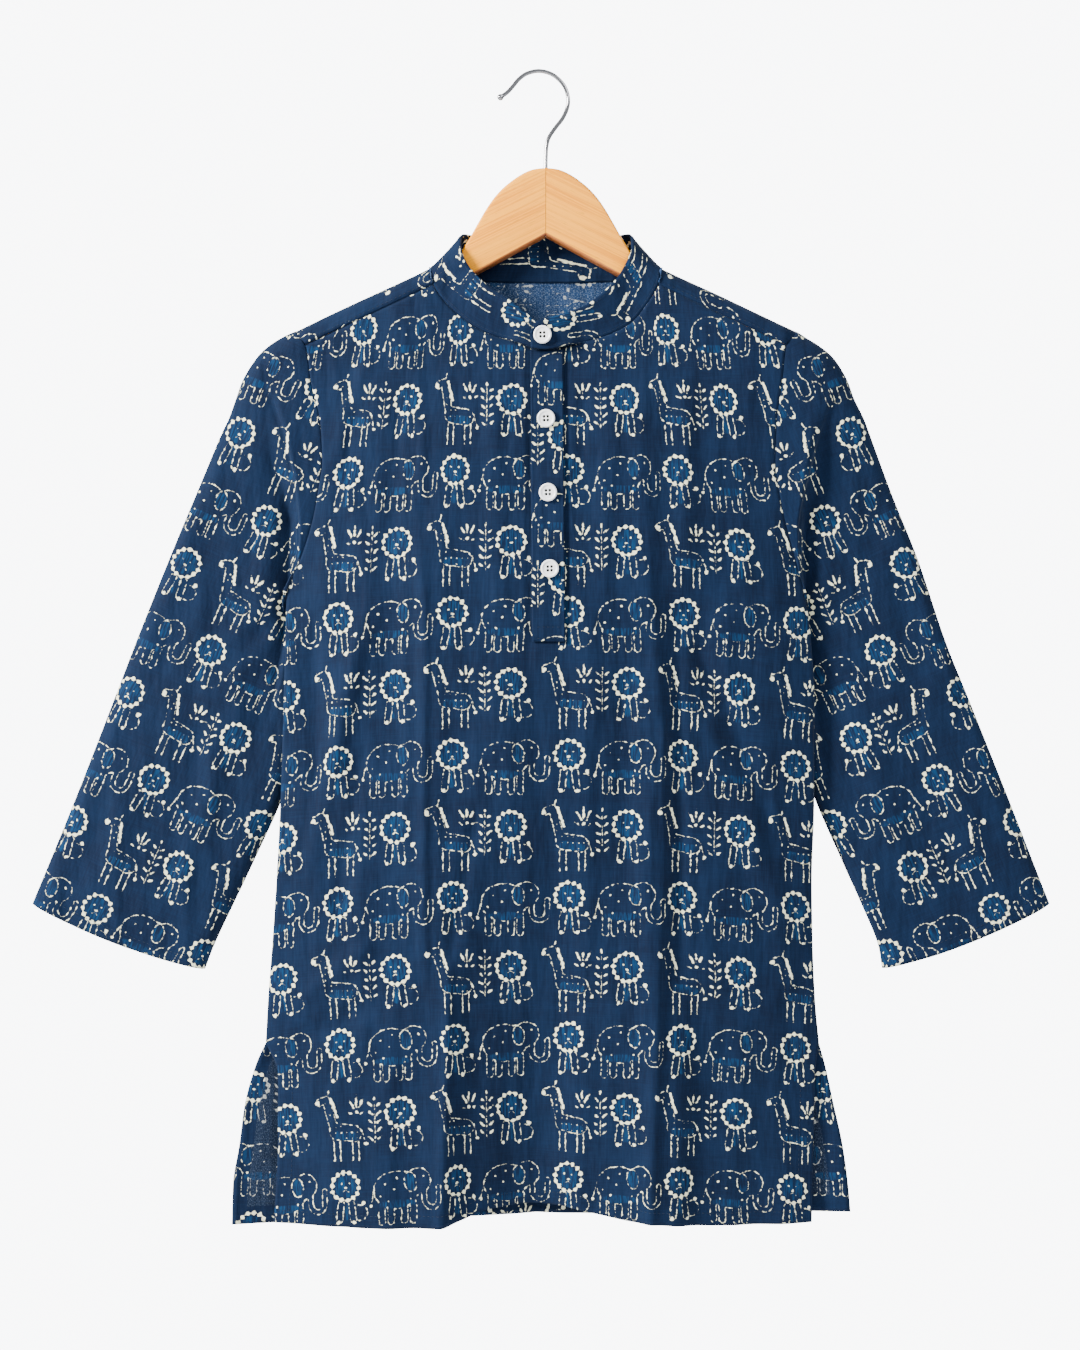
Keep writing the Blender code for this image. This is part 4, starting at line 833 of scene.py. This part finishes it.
def level_line(points, values, level, across=False):
    """Line on a grid of points where values cross a level, one place in each column (or row)."""
    if across:
        points, values = points.swapaxes(0, 1), values.swapaxes(0, 1)
    passed = (values[:-1] - level) * (values[1:] - level) <= 0
    j = np.nonzero(passed.any(axis=0))[0]
    i = np.argmax(passed, axis=0)[j]
    low, high = values[i, j], values[i + 1, j]
    t = np.where(high == low, 0, (level - low) / np.where(high == low, 1, high - low))[:, None]
    return points[i, j] * (1 - t) + points[i + 1, j] * t


def sew(line, outward):
    """Notes a line of stitches: its route in millimetres and the way out of the cloth."""
    seam_lines.append((line, np.broadcast_to(outward, line.shape)))


def panel(x, z, hem, side):
    """Points of a panel, with its hem and its slits' facings sewn, and where these are turned."""
    above, aside = z - hem, half_width(x, z, side) - np.abs(x)
    slit = smoothstep(SLIT_TOP + 4, SLIT_TOP - 4, z)
    depth = face_depth(x, z, side) + sewn_edge(above, x, HEM_DEPTH)
    depth += sewn_edge(aside, z, SLIT_FACING) * slit
    if side == FRONT:
        seam = smoothstep(UNDERARM_LEVEL + 4, UNDERARM_LEVEL - 1, z)
        seam = seam * smoothstep(-2, 2, z - SLIT_TOP)
        depth -= SIDE_OVERLAP * bell(aside, 0, 1.2) * seam
    way = 1 if side == BACK else -1
    points = xyz(x, way * depth, z)
    hem_line = level_line(points, above, HEM_DEPTH - STITCH_INSET)
    sew(hem_line[aside[-1] > 1], (0, way, 0))
    below = z[:, 0] < SLIT_TOP - 3
    half = points.shape[1] // 2
    for part in (slice(0, half), slice(half, None)):
        line = level_line(points[below, part], aside[below, part], SLIT_FACING - STITCH_INSET, True)
        sew(line[:-2], (0, way, 0))
    turned = (above < HEM_DEPTH) | ((aside < SLIT_FACING) & (z < SLIT_TOP))
    return points, turned[1:, 1:]


def make_front():
    outer = np.linspace(NECK_HALF_WIDTH, REFERENCE_WIDTH, FRONT_SIDE_COLUMNS + 1)[1:]
    neck_left = np.linspace(-NECK_HALF_WIDTH, NOTCH_LEFT, FRONT_NECK_COLUMNS)
    neck_right = np.linspace(NOTCH_RIGHT, NECK_HALF_WIDTH, FRONT_NECK_COLUMNS)
    left = np.concatenate((-outer[::-1], neck_left))
    places = np.concatenate((left, neck_right, outer))
    share = places / REFERENCE_WIDTH
    x = places
    for _ in range(8):
        x = column_x(share, front_top(x))
    top, hem = front_top(x), column(FRONT_HEM, places, 1)
    z = np.concatenate((mix(top, NOTCH_FOOT, evenly(NOTCH_ROWS + 1)[:, None]),
                        mix(NOTCH_FOOT, hem, evenly(FRONT_LOWER_ROWS + 1)[1:, None])))
    x = column_x(share, z)
    points, turned = panel(x, z, hem, FRONT)
    across = lengths(points)
    across = across - across[:, len(left):len(left) + 1]
    sag = 9 * (np.clip(np.abs(x) - 55, 0, None) / 110) ** 1.6 * smoothstep(-160, -420, z)
    keep = np.ones(turned.shape, dtype=bool)
    keep[:NOTCH_ROWS, len(left) - 1] = False
    return cloth_shell("front", points, xyz(across, z + sag), keep=keep, turned=turned)


def make_back():
    share = np.linspace(-1, 1, BACK_GRID[1])
    hem = column(BACK_HEM, share * BACK_HEM_HALF_WIDTH, 1)
    z = mix(BACK_YOKE_SEAM - SEAM_GAP, hem, evenly(BACK_GRID[0])[:, None])
    points, turned = panel(share * half_width(share, z, BACK), z, hem, BACK)
    across = lengths(points)
    middle = BACK_GRID[1] // 2
    cut = xyz(across[:, middle:middle + 1] - across, z)
    return cloth_shell("back", points[:, ::-1], cut[:, ::-1], turned=turned[:, ::-1])


def armhole_x(side, path):
    """x of the yoke's armhole edge at a path length, where the body's width ends it."""
    x = np.full(np.shape(path), 150 * side)
    for _ in range(10):
        x = side * half_width(side, shoulder_point(x, path)[..., 2], BACK)
    return x


def make_yoke():
    """The yoke's flat cut, a band with the neck notched out, bent over the hanger."""
    shoulder = evenly(YOKE_SHOULDER_COLUMNS + 1)[:-1]
    bend = path_points(BACK_NECK, evenly(YOKE_NECK_COLUMNS))
    ends = armhole_x(np.array((-1, 1)), np.zeros(2))
    top_x = np.concatenate((mix(ends[0], bend[0, 0], shoulder), bend[:, 0],
                            mix(ends[1], bend[-1, 0], shoulder)[::-1]))
    top_path = np.concatenate((0 * shoulder, bend[:, 1], 0 * shoulder))
    share = evenly(YOKE_ROWS)[:, None]
    foot_left, foot_right = (way * half_width(way, BACK_YOKE_SEAM, BACK) for way in (-1, 1))
    foot_x = np.linspace(foot_left, foot_right, len(top_x))
    path = mix(top_path, FOLD_PATH + shoulder_foot(foot_x) - BACK_YOKE_SEAM, share)
    x = mix(top_x, foot_x, share)
    for index, way in ((0, -1), (-1, 1)):
        x[:, index] = armhole_x(np.full(len(share), way), path[:, index])
    front_edge = bell(path, 1.5, 1.6) * (np.abs(x) > NECK_HALF_WIDTH)
    angle = np.clip(path / FOLD_PATH, 0, 1) * math.pi
    outward = xyz(0, -np.cos(angle), np.sin(angle))
    raised = 0.5 * front_edge + 0.3 * crumple(path * 3, x * 2, 1) * smoothstep(2, 9, path)
    points = shoulder_point(x, path) + outward * raised[..., None]
    for part in (slice(2, len(shoulder) - 1), slice(1 - len(shoulder), -2)):
        sew(level_line(points[:, part], path[:, part], YOKE_STITCHES), outward[4, len(shoulder)])
    return cloth_shell("yoke", points[::-1], xyz(path, x)[::-1])


def armhole_ring(side):
    """The body's armhole edge from ridge to underarm: share of the height, x, z and two depths."""
    crown_path = np.linspace(FOLD_PATH / 2, 0, CROWN_COLUMNS)
    crown = shoulder_point(armhole_x(side, crown_path), crown_path)
    levels = np.linspace(crown[-1, 2], UNDERARM_LEVEL, ARMHOLE_COLUMNS + 1)[1:]
    x = np.concatenate((crown[:, 0], side * half_width(side, levels, FRONT)))
    z = np.concatenate((crown[:, 2], levels))
    front = np.concatenate((crown[:, 1], -column(ARMHOLE_DEPTH, levels, FRONT)))
    back = np.concatenate((-crown[:, 1], column(ARMHOLE_DEPTH, levels, BACK)))
    share = (z - z[0]) / (z[-1] - z[0])
    apart = smoothstep(0.86, 1, share) * UNDERARM_PARTING
    return share, x - side * ARMHOLE_OVERLAP, z, front - apart, back + apart


def sleeve_walls(name, t):
    """In-plane places and the two depths of a sleeve's rings, at t along it."""
    side = SIDES[name]
    v, ring_x, ring_z, ring_front, ring_back = armhole_ring(side)
    top, under = (path_points(table[name], t[:, 0])[:, None]
                  for table in (SLEEVE_TOP, SLEEVE_UNDER))
    width = np.linalg.norm(under - top, axis=-1)
    hollow = (ring_x - mix(ring_x[0], ring_x[-1], v)) * (1 - smoothstep(0, 0.4, t))
    start = 1 - smoothstep(0, 0.006, t)
    x = mix(mix(top[..., 0], under[..., 0], v) + hollow, ring_x, start)
    z = mix(mix(top[..., 1], under[..., 1], v), ring_z, start) - CUFF_SAG * 4 * v * (1 - v) * t ** 6
    bulge = SLEEVE_HALF_DEPTH * quarter_round(v * width, SLEEVE_EDGE)
    bulge = bulge * quarter_round((1 - v) * width, SLEEVE_EDGE)
    low = smoothstep(0.7, 1, v)
    starts, ends = (mix(a, b, low) for a, b in zip(SLEEVE_CREASE, UNDERARM_CREASE))
    crease, soft = smoothstep(starts, ends, t), smoothstep(0.006, 0.32, t)
    front = mix(ring_front, SLEEVE_MIDDLE - bulge, mix(soft, crease, smoothstep(0.12, 0.40, v)))
    back = mix(ring_back, SLEEVE_MIDDLE + bulge, mix(soft, crease, smoothstep(0.75, 1, v)))
    limit = half_width(side, z, FRONT) - ARMHOLE_OVERLAP - UNDERARM_OVERLAP * smoothstep(0, 0.01, t)
    short = np.maximum(0, limit - side * x)
    behind = smoothstep(ends + UNDERARM_HOLD[0], ends + UNDERARM_HOLD[1], t)
    fade = smoothstep(0.01, 0.10, t) * np.clip(4.5 * v * (1 - v), 0, 1) ** 0.7
    relief = (fold_height(SLEEVE_CREASES[name], x, z) + crumple(x * 1.3, z * 1.3, 0.55)) * fade
    band = sewn_edge((1 - t) * SLEEVE_LENGTH, v * width, CUFF_HEM)
    beyond = side * (x - column(SLEEVE_TUCK[name], z, 1))
    tuck = column(SLEEVE_TUCK[name], z, 2) * smoothstep(-1.6, 0.9, beyond)
    tuck = tuck * np.exp(-np.maximum(0, beyond) / 10) * smoothstep(0.003, 0.02, t)
    front = front - relief - band
    back = back + 0.5 * relief + band
    seam = ARMHOLE_GROOVE * bell(t, 0, 0.0022)
    front = front + np.minimum(tuck, np.maximum(0, back - front - TUCK_ROOM)) + seam
    return x + side * short * (1 - behind), z, front, back - seam


def laid_flat(loop, crest):
    """x and z of a tube pressed flat on its crest, each step across it kept at its real length."""
    step = np.diff(loop, axis=1)
    plane = step[..., 0::2]
    level = np.maximum(np.linalg.norm(plane, axis=2), 1e-6)
    plane = plane * (np.linalg.norm(step, axis=2) / level)[..., None]
    run = np.cumsum(np.concatenate((0 * plane[:, :1], plane), axis=1), axis=1)
    return loop[:, crest:crest + 1, 0::2] + run - run[:, crest:crest + 1]


def make_sleeve(name):
    """Flat tube: up its front from the underarm, over the crest and down its back."""
    t = (evenly(SLEEVE_RINGS) ** 1.15)[:, None]
    x, z, front, back = sleeve_walls(name, t)
    out, home = xyz(x, front, z), xyz(x, back, z)
    loop = np.concatenate((out[:, :0:-1], 0.5 * (out[:, :1] + home[:, :1]), home[:, 1:]), axis=1)
    half = out.shape[1] - 1
    number = np.arange(loop.shape[1])
    flat = laid_flat(loop, half)
    flat_x, flat_z = SIDES[name] * flat[..., 0], flat[..., 1]
    across = flat_x * SLEEVE_GRAIN[1] - flat_z * SLEEVE_GRAIN[0]
    along = -(flat_x * SLEEVE_GRAIN[0] + flat_z * SLEEVE_GRAIN[1])
    fold = across[len(t) // 3:, half].mean()
    cut = xyz(np.where(number > half, 2 * fold - across, across), along)
    from_cuff = (1 - t) * SLEEVE_LENGTH
    ring = level_line(loop, from_cuff + 0 * across, CUFF_HEM - STITCH_INSET)
    sew(ring[:half], (0, -1, 0))
    sew(ring[half + 1:], (0, 1, 0))
    if name == "left":
        loop, cut = loop[:, ::-1], cut[:, ::-1]
    strip = np.sign(cut[:, -1:, :1] - cut[:, -2:-1, :1]) * (home[:, -1:, 1:2] - out[:, -1:, 1:2])
    cut = np.concatenate((cut, cut[:, -1:] + strip * (1, 0)), axis=1)
    inside = (t < 0.22) & (np.abs(number - half) / half > 0.8)
    return cloth_shell("sleeve_" + name, loop, cut, turned=((from_cuff < CUFF_HEM) | inside)[1:])


def neck_curve():
    """The neck seam as one fine line: left front, back, right front."""
    left, right = (way * np.linspace(0, NECK_HALF_WIDTH, 160) for way in (-1, 1))
    fronts = []
    for x in (left, right):
        z = column(NECKLINE, x, 1)
        fronts.append(xyz(x, -face_depth(x, z, FRONT), z))
    bend = path_points(BACK_NECK, evenly(300))
    return np.vstack((fronts[0], shoulder_point(bend[:, 0], bend[:, 1]), fronts[1][::-1]))


def collar_band(count):
    """Seam and top edge of the collar at count places along it, and the path length there."""
    band = path_points(COLLAR, evenly(count))
    top, curve = band[:, 3:], neck_curve()
    seam = curve[[np.argmin(np.linalg.norm(curve - point, axis=1)) for point in band[:, :3]]]
    lap = np.abs(band[:, 0]) < COLLAR_LAP_REACH
    seam[lap, :2] = band[lap, :2]
    for _ in range(6):
        seam[1:-1] = 0.25 * seam[:-2] + 0.5 * seam[1:-1] + 0.25 * seam[2:]
    behind = smoothstep(-4, 4, seam[:, 1:2])
    seam = seam + unit(top - seam) * (SEAM_GAP - (SEAM_GAP + NECK_OVERLAP) * behind)
    run = lengths(top)
    drop = COLLAR_CORNER * (1 - quarter_round(run[-1] - run, COLLAR_CORNER))
    height = np.linalg.norm(top - seam, axis=1)
    return seam, mix(seam, top, (1 - drop / height)[:, None]), run


def make_collar():
    seam, top, run = collar_band(COLLAR_GRID[1])
    share = evenly(COLLAR_GRID[0])[:, None]
    points = mix(seam, top, share[..., None])
    outward = unit(np.cross(np.gradient(points, axis=1), np.gradient(points, axis=0)))
    height = np.linalg.norm(top - seam, axis=1) * share
    rows = tuple(zip((height, height[-1:] - height), COLLAR_STITCHES))
    ripple = 0.14 * np.sin(run / 2.6 + 1.4 * np.sin(run / 13)) * (1 - 2.4 * (share - 0.5) ** 2)
    grooves = 0.30 * sum(bell(way, inset, 0.8) for way, inset in rows)
    relief = 0.35 * np.sin(math.pi * share) + ripple - grooves
    points = points + outward * relief[..., None]
    for values, level in rows:
        sew(level_line(points, values, level)[3:-3], level_line(outward, values, level)[3:-3])
    return cloth_shell("collar", points, xyz(height * 1.1, run), COLLAR_WALL)


def band_strip(piece, width, foot, out, columns):
    """Strip down the front, laid on the front's own points and moved out from them, or in.

    The one that lies outside has turned edges, and stitches across it at its foot.
    """
    z = np.linspace(PLACKET_TOP + PLACKET_RISE, foot, PLACKET_ROWS)[:, None]
    share = np.linspace(-0.5, 0.5, columns)
    x = placket_centre(z) + share * width
    y = -panel_depth(x, z + 0 * x, FRONT) - out
    if out > 0:
        aside = (0.5 - np.abs(share)) * width
        y -= 0.22 * (1 - smoothstep(2.2, 3.4, aside)) - 0.28 * bell(aside, PLACKET_STITCHES, 0.7)
        y -= 0.10 * np.sin(z / 2.7 + 1.2 * np.sin(z / 15)) * bell(aside, 1.5, 2.5)
    points = xyz(x, y, z)
    if out > 0:
        inner = points[:, aside > PLACKET_STITCHES]
        for level in BOX_STITCHES:
            sew(level_line(inner, inner[..., 2] - foot, level), (0, -1, 0))
    return cloth_shell(piece, points, xyz(x, z))


def loft(name, points):
    """Tubes of quads: points has tubes x rings x places x 3, each ring closed."""
    count, rows, columns = points.shape[:3]
    tube, i, j = np.meshgrid(*map(np.arange, (count, rows - 1, columns)), indexing="ij")
    faces = quads(i, j, columns) + (tube * rows * columns)[..., None]
    return surface(name, points.reshape(-1, 3), faces.reshape(-1, 4))


def make_stitches():
    """Every noted seam as a row of thread arches, each diving into the cloth at both ends."""
    arches = []
    lift = THREAD_RADIUS * np.array((-0.7, 0.45, 0.8, 0.45, -0.7))[:, None]
    thick = THREAD_RADIUS * np.array((0.15, 1, 1, 1, 0.15))[:, None, None]
    angle = full_turn(6)[:, None]
    for line, outward in seam_lines:
        run = lengths(line)
        count = int(run[-1] / STITCH_PITCH)
        starts = (np.arange(count) + 0.5) * run[-1] / count
        at = starts[:, None] + np.linspace(-0.5, 0.5, 5) * STITCH_LENGTH
        place = at_lengths(at, run, line)
        along = np.gradient(place, axis=1)
        side = unit(np.cross(along, at_lengths(at, run, outward)))
        out = unit(np.cross(side, along))
        ring = np.cos(angle) * side[:, :, None] + np.sin(angle) * out[:, :, None]
        arches.append((place + out * lift)[:, :, None] + ring * thick)
    return loft("stitches", np.concatenate(arches))


def arm_levels(x):
    """Top and underside of an arm at a distance from the middle, closing in a round end."""
    crest = path_points(HANGER_CREST, evenly(80))
    far = np.array((73, 95, 115, HANGER_HALF_SPAN))
    beyond = np.stack((far, ridge(far) - CLOTH_WALL - HANGER_CLEARANCE), axis=-1)
    top = np.interp(x, *np.concatenate((crest, beyond)).T)
    under = HANGER_UNDER_TOP - HANGER_UNDER_SLOPE * x
    half = (top - under) / 2 * quarter_round(HANGER_HALF_SPAN - x, HANGER_END_RADIUS)
    return (top + under) / 2 + half, (top + under) / 2 - half


def make_arm(name, side):
    """Hanger arm as sections across it, rounded more at the top than underneath."""
    near = np.linspace(HANGER_JOINT, HANGER_HALF_SPAN - HANGER_END_RADIUS, 110)
    turn = np.sin(np.linspace(0, math.pi / 2, 14)[1:]) * HANGER_END_RADIUS
    x = np.concatenate((near[:1], near[:1], near[:1] + 0.05, near[1:], near[-1] + turn))[:, None]
    top, under = arm_levels(x)
    rounding = HANGER_TOP_EDGE * (1 - quarter_round(HANGER_HALF_SPAN - x, HANGER_TOP_EDGE))
    half = HANGER_DEPTH / 2 - rounding
    swing = np.linspace(0, math.pi / 2, 7)
    rings = []
    for y_way, z_way in ((1, 1), (-1, 1), (-1, -1), (1, -1)):
        edge, level = (HANGER_TOP_EDGE, top) if z_way > 0 else (HANGER_UNDER_EDGE, under)
        edge = np.minimum(np.minimum(edge, 0.49 * (top - under) + 0.001), half)
        rings.append(xyz(side * x, y_way * (half - edge + edge * np.cos(swing)),
                         level - z_way * edge * (1 - np.sin(swing))))
        swing = swing[::-1]
    points = np.concatenate(rings, axis=1)
    points[0] = mix(points[0].mean(axis=0), points[0], 0.01)
    # The underside and lower bevel faces take the second material: painted shade, a darker browner
    # copy of the wood
    below = np.arange(points.shape[1]) // len(swing) >= 2
    below[-1] = False
    if side > 0:
        points, below = points[:, ::-1], np.roll(below[::-1], -1)
    obj = loft(name, points[None])
    mark(obj, np.tile(below, len(points) - 1))
    return obj


def make_hook():
    """Wire swept along its route with a ball at the tip, its lower end in the wood."""
    route = path_points(HOOK_ROUTE, evenly(260))
    run = lengths(route)
    ball = HOOK_BALL_RADIUS * np.sqrt(np.clip(1 - (run / HOOK_BALL_RADIUS - 1) ** 2, 0.0004, 1))
    radius = np.where(run < HOOK_BALL_RADIUS, ball, np.maximum(ball, WIRE_RADIUS))[:, None]
    radius[-1] = 0.02
    along = unit(np.gradient(route, axis=0))
    inward, depth = np.cos(full_turn(24)) * radius, np.sin(full_turn(24)) * radius
    points = xyz(route[:, :1] - along[:, 1:] * inward, depth, route[:, 1:] + along[:, :1] * inward)
    return loft("hook_wire", points[None])


def make_glue_line():
    """Thin film between the hanger's two arms, in front of and behind the hook's bore."""
    low, high = HANGER_UNDER_TOP + 0.3, HANGER_CREST[0][1] - 0.3
    z = np.linspace(low, high, 60)
    edge = np.where(z > (low + high) / 2, HANGER_TOP_EDGE, HANGER_UNDER_EDGE)
    reach = HANGER_DEPTH / 2 - 0.3 - edge * (1 - quarter_round(np.minimum(z - low, high - z), edge))
    near = WIRE_RADIUS + WIRE_BORE_SLACK + 0.15
    reach = np.maximum(reach, near + 0.02)
    corners = (HANGER_JOINT - 0.02) * np.array((-1, -1, 1, 1))
    films = [xyz(side * corners, side * xyz(near, reach, reach, near), z[:, None])
             for side in (-1, 1)]
    return loft("glue_line", np.array(films))


def button_face(radius, angle):
    """Depth of a button's front: raised round rim, shallow dish, four holes sunk into it."""
    rim = BUTTON_RADIUS - radius
    depth = BUTTON_DISH * smoothstep(0.9, 2, rim)
    depth = depth + BUTTON_ROLL * (1 - quarter_round(rim, BUTTON_ROLL))
    for x_way, z_way in ((1, 1), (-1, 1), (-1, -1), (1, -1)):
        gap = np.hypot(radius * np.cos(angle) - x_way * BUTTON_HOLE_SPACING,
                       radius * np.sin(angle) - z_way * BUTTON_HOLE_SPACING)
        depth = depth + BUTTON_HOLE_DEPTH * (1 - smoothstep(-0.12, 0.12, gap - BUTTON_HOLE_RADIUS))
    return depth


def make_button(number, x, z):
    """Turned disc: rings from the front's middle over the rim to the back's middle."""
    face, lean = COLLAR_END_FACE - 0.25, 0
    if number > 1:
        low, here, high = (float(panel_depth(x, z + step, FRONT)) for step in (-4, 0, 4))
        face, lean = -here - LAYER_GAP - CLOTH_WALL, math.atan2(low - high, 8)
    radius = np.concatenate((np.linspace(0.02, BUTTON_RADIUS - 1.2, 34),
                             BUTTON_RADIUS - np.linspace(1.1, 0, 9) ** 1.4 * 0.9))[:, None]
    angle = full_turn(96)
    front = button_face(radius, angle) - BUTTON_THICKNESS
    back = np.array(((0, -0.9), (0.15, -0.35), (0.6, 0), (2.6, 0), (BUTTON_RADIUS - 0.02, 0)))
    rings = np.concatenate((radius, BUTTON_RADIUS - back[:, :1]))
    depth = np.concatenate((front, back[:, 1:] + 0 * angle))
    height = rings * np.sin(angle)
    c, s = math.cos(lean), math.sin(lean)
    points = xyz(x + rings * np.cos(angle), face - LAYER_GAP / 2 + c * depth - s * height,
                 z + s * depth + c * height)
    obj = loft(f"button_{number}_turned", points[None])
    # Faces deep in the holes take the second material: brown thread, darkened further as painted
    # shade of the holes
    sunk = depth > BUTTON_DISH + 0.3 - BUTTON_THICKNESS
    sunk[len(radius):] = False
    mark(obj, sunk[:-1] & sunk[1:])
    return obj


def clouded(name, first, last, scale, detail, inputs):
    """Material of two close shades in soft clouds, with the shader's other inputs."""
    n = Nodes(bpy.data.materials.new(name))
    return n.paint({"Base Color": n.blend(n.noise(n.here(), scale, detail), first, last), **inputs})


def plain(name, colour, rough, scale):
    return clouded(name, np.multiply(0.75, colour), colour, scale, 2,
                   {"Roughness": rough, "Specular IOR Level": 0.25})


def wood_material(name, side, painted_shade_tint=(1, 1, 1)):
    """Lacquered beech: long grain along the arm, fine darker flecks and soft growth bands."""
    n = Nodes(bpy.data.materials.new(name))
    lay = n.node("Mapping", {"Vector": n.here(), "Rotation": (0, side * math.radians(-26), 0)})
    bands = n.noise(lay, (5, 60, 170), 3)
    lines = n.ramp(n.noise(lay, (9, 300, 900), 4, 0.6), 0.42, 0.62)
    rings = n.mad(lines, 0.55, n.mul(bands, 0.6))
    warp = n.ramp(n.noise(lay, (12, 60, 60), 3), 0.3, 0.7)
    pores = n.noise(lay, (120, 900, 1500))
    colour = n.blend(n.ramp(rings, 0.2, 0.9), (0.900, 0.340, 0.010), (0.680, 0.215, 0.003))
    colour = n.blend(n.mul(warp, 0.5), colour, (0.940, 0.380, 0.016))
    colour = n.blend(n.mul(n.ramp(pores, 0.60, 0.72), 0.45), colour, (0.400, 0.150, 0.020))
    # painted_shade_tint multiplies the colour: painted shade, darker and browner, for the arms'
    # undersides
    return n.paint({"Base Color": n.vector("MULTIPLY", colour, painted_shade_tint), "Specular IOR Level": 0.10,
                    "Roughness": n.mad(rings, 0.08, 0.34),
                    "Normal": n.bump(n.mad(pores, -0.5, rings), 0.10, 0.0003)})


def steel_material():
    """Bright plated wire with faint drawing lines round it."""
    n = Nodes(bpy.data.materials.new("bright_steel"))
    scratches = n.noise(n.here(), (300, 300, 120), 3)
    return n.paint({"Base Color": n.blend(scratches, (0.24, 0.235, 0.24), (0.30, 0.295, 0.30)),
                    "Roughness": n.mad(scratches, 0.05, 0.14), "Metallic": 1})


def replace_part(obj, node, slot, *materials):
    """Puts a finer piece in its solid's place."""
    for material in materials:
        obj.data.materials.append(material)
    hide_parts(node)
    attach(obj, "root")


def hang(obj, slot, materials):
    """Puts a cloth piece in its solid's place and reads the UV map of its cut."""
    replace_part(obj, obj.name.removesuffix("_cloth"), slot, *materials)
    uv = np.empty(2 * len(obj.data.loops))
    obj.data.uv_layers["cut"].uv.foreach_get("vector", uv)


def light(name, place, aim, size, power, colour):
    lamp = bpy.data.lights.new(name, "AREA")
    lamp.shape, lamp.size, lamp.energy, lamp.color = "DISK", size, power, colour
    obj = add_object(name, lamp)
    obj.location = place
    x, y, z = np.subtract(aim, place)
    obj.rotation_euler = (math.atan2(math.hypot(x, y), -z), 0, math.atan2(-x, y))


def make_stage():
    """Pale floor below the view, soft daylight all round and a window-like light at the left."""
    mesh = bpy.data.meshes.new("floor")
    corners = [(-3, -3, -1.5), (3, -3, -1.5), (3, 1.9, -1.5), (-3, 1.9, -1.5)]
    mesh.from_pydata(corners, [], [(0, 1, 2, 3)])
    mesh.materials.append(clouded("floor_paint", (0.86, 0.88, 0.91), (0.8428, 0.8624, 0.8918),
                                  1.2, 2, {"Roughness": 0.9}))
    add_object("floor", mesh)
    n = Nodes(bpy.data.worlds.new("soft_daylight"))
    behind = n.node("SeparateXYZ", {0: n.node("TexCoord", output="Generated")}, "Y")
    strength = n.node("MapRange", {"Value": behind, "From Min": -0.1, "From Max": 0.8,
                                   "To Min": DAYLIGHT, "To Max": REAR_DAYLIGHT})
    daylight = n.tree.nodes["Background"]
    n.put(daylight, {"Color": (0.90, 0.95, 1), "Strength": strength})
    wall = n.node("Background", {"Color": (0.96, 0.975, 1), "Strength": WALL_BRIGHTNESS})
    seen = n.node("LightPath", output="Is Camera Ray")
    n.put(n.tree.nodes["World Output"],
          {"Surface": n.node("MixShader", {0: seen, 1: daylight.outputs[0], 2: wall})})
    bpy.context.scene.world = n.owner
    light("window", (-2.2, -1.15, 0.75), (0, 0, -0.35), 0.9, 300, (1, 0.985, 0.96))
    light("fill", (1.3, -1.7, 1.1), (0.05, 0, -0.3), 1.4, 48, (0.94, 0.97, 1))
    light("rear", (1.2, 2.4, 1), (0, 0, -0.35), 1.6, 60, (1, 0.985, 0.96))


def make_camera():
    camera = bpy.data.cameras.new("camera")
    camera.sensor_fit = "VERTICAL"
    camera.sensor_height = camera.sensor_width = 36
    camera.lens = 36 * CAMERA_DISTANCE / VIEW_HEIGHT
    obj = add_object("camera", camera)
    obj.location = (0.0011, -CAMERA_DISTANCE, -0.37775)
    obj.rotation_euler = (math.pi / 2, 0, 0)
    bpy.context.scene.camera = obj


right_side = printed_cloth("indigo_print")
wrong_side = printed_cloth("indigo_print_reverse", 0.5)
# The yoke's wrong side is a painted-light copy, lighter than the panels' wrong side for its shaded
# inside
yoke_wrong_side_painted_light = printed_cloth("indigo_yoke_reverse_painted_light", 1.45)
cloth = (right_side, wrong_side, right_side, right_side)
hang(make_front(), "body_cloth", cloth)
hang(make_back(), "body_cloth", cloth)
hang(make_yoke(), "yoke_cloth", (right_side, yoke_wrong_side_painted_light))
for side_name in SIDES:
    hang(make_sleeve(side_name), "sleeve_cloth", cloth)
hang(make_collar(), "band_cloth", (right_side, right_side))
layer = LAYER_GAP + CLOTH_WALL
for strip in (("placket_top", PLACKET_WIDTH, PLACKET_FOOT, layer, 25),
              ("placket_under", UNDERLAP_WIDTH, NOTCH_FOOT - 3, -layer, 15)):
    hang(band_strip(*strip), "band_cloth", cloth)
white = clouded("button_white", (0.82, 0.81, 0.815), (0.88, 0.875, 0.88), 260, 3,
                {"Roughness": 0.32, "Coat Weight": 0.25, "Subsurface Weight": 0.03,
                 "Subsurface Radius": (0.002, 0.002, 0.002)})
# Thread in the button holes, partly real brown thread and partly painted shade of the holes' depth
hole_thread_and_painted_shade = plain("hole_thread_and_painted_shade", (0.008, 0.005, 0.004), 0.8, 900)
for number, place in enumerate(BUTTONS, start=1):
    replace_part(make_button(number, *place), f"button_{number}", "buttons", white, hole_thread_and_painted_shade)
for piece, material in ((make_stitches(), plain("navy_thread", (0.0022, 0.0090, 0.0260), 0.7, 700)),
                        (make_glue_line(), plain("glue", (0.330, 0.130, 0.030), 0.6, 90))):
    piece.data.materials.append(material)
    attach(piece, "root")
# Each arm's second material is painted shade: its underside and lower bevels painted darker and
# browner
for side_name, side in SIDES.items():
    replace_part(make_arm(f"arm_{side_name}", side), f"hanger_arm_{side_name}", "hanger_wood",
                 wood_material(f"beech_{side_name}", side),
                 wood_material(f"beech_painted_shade_{side_name}", side, (0.42, 0.38, 4)))
replace_part(make_hook(), "hook", "hook_steel", steel_material())
make_stage()
make_camera()
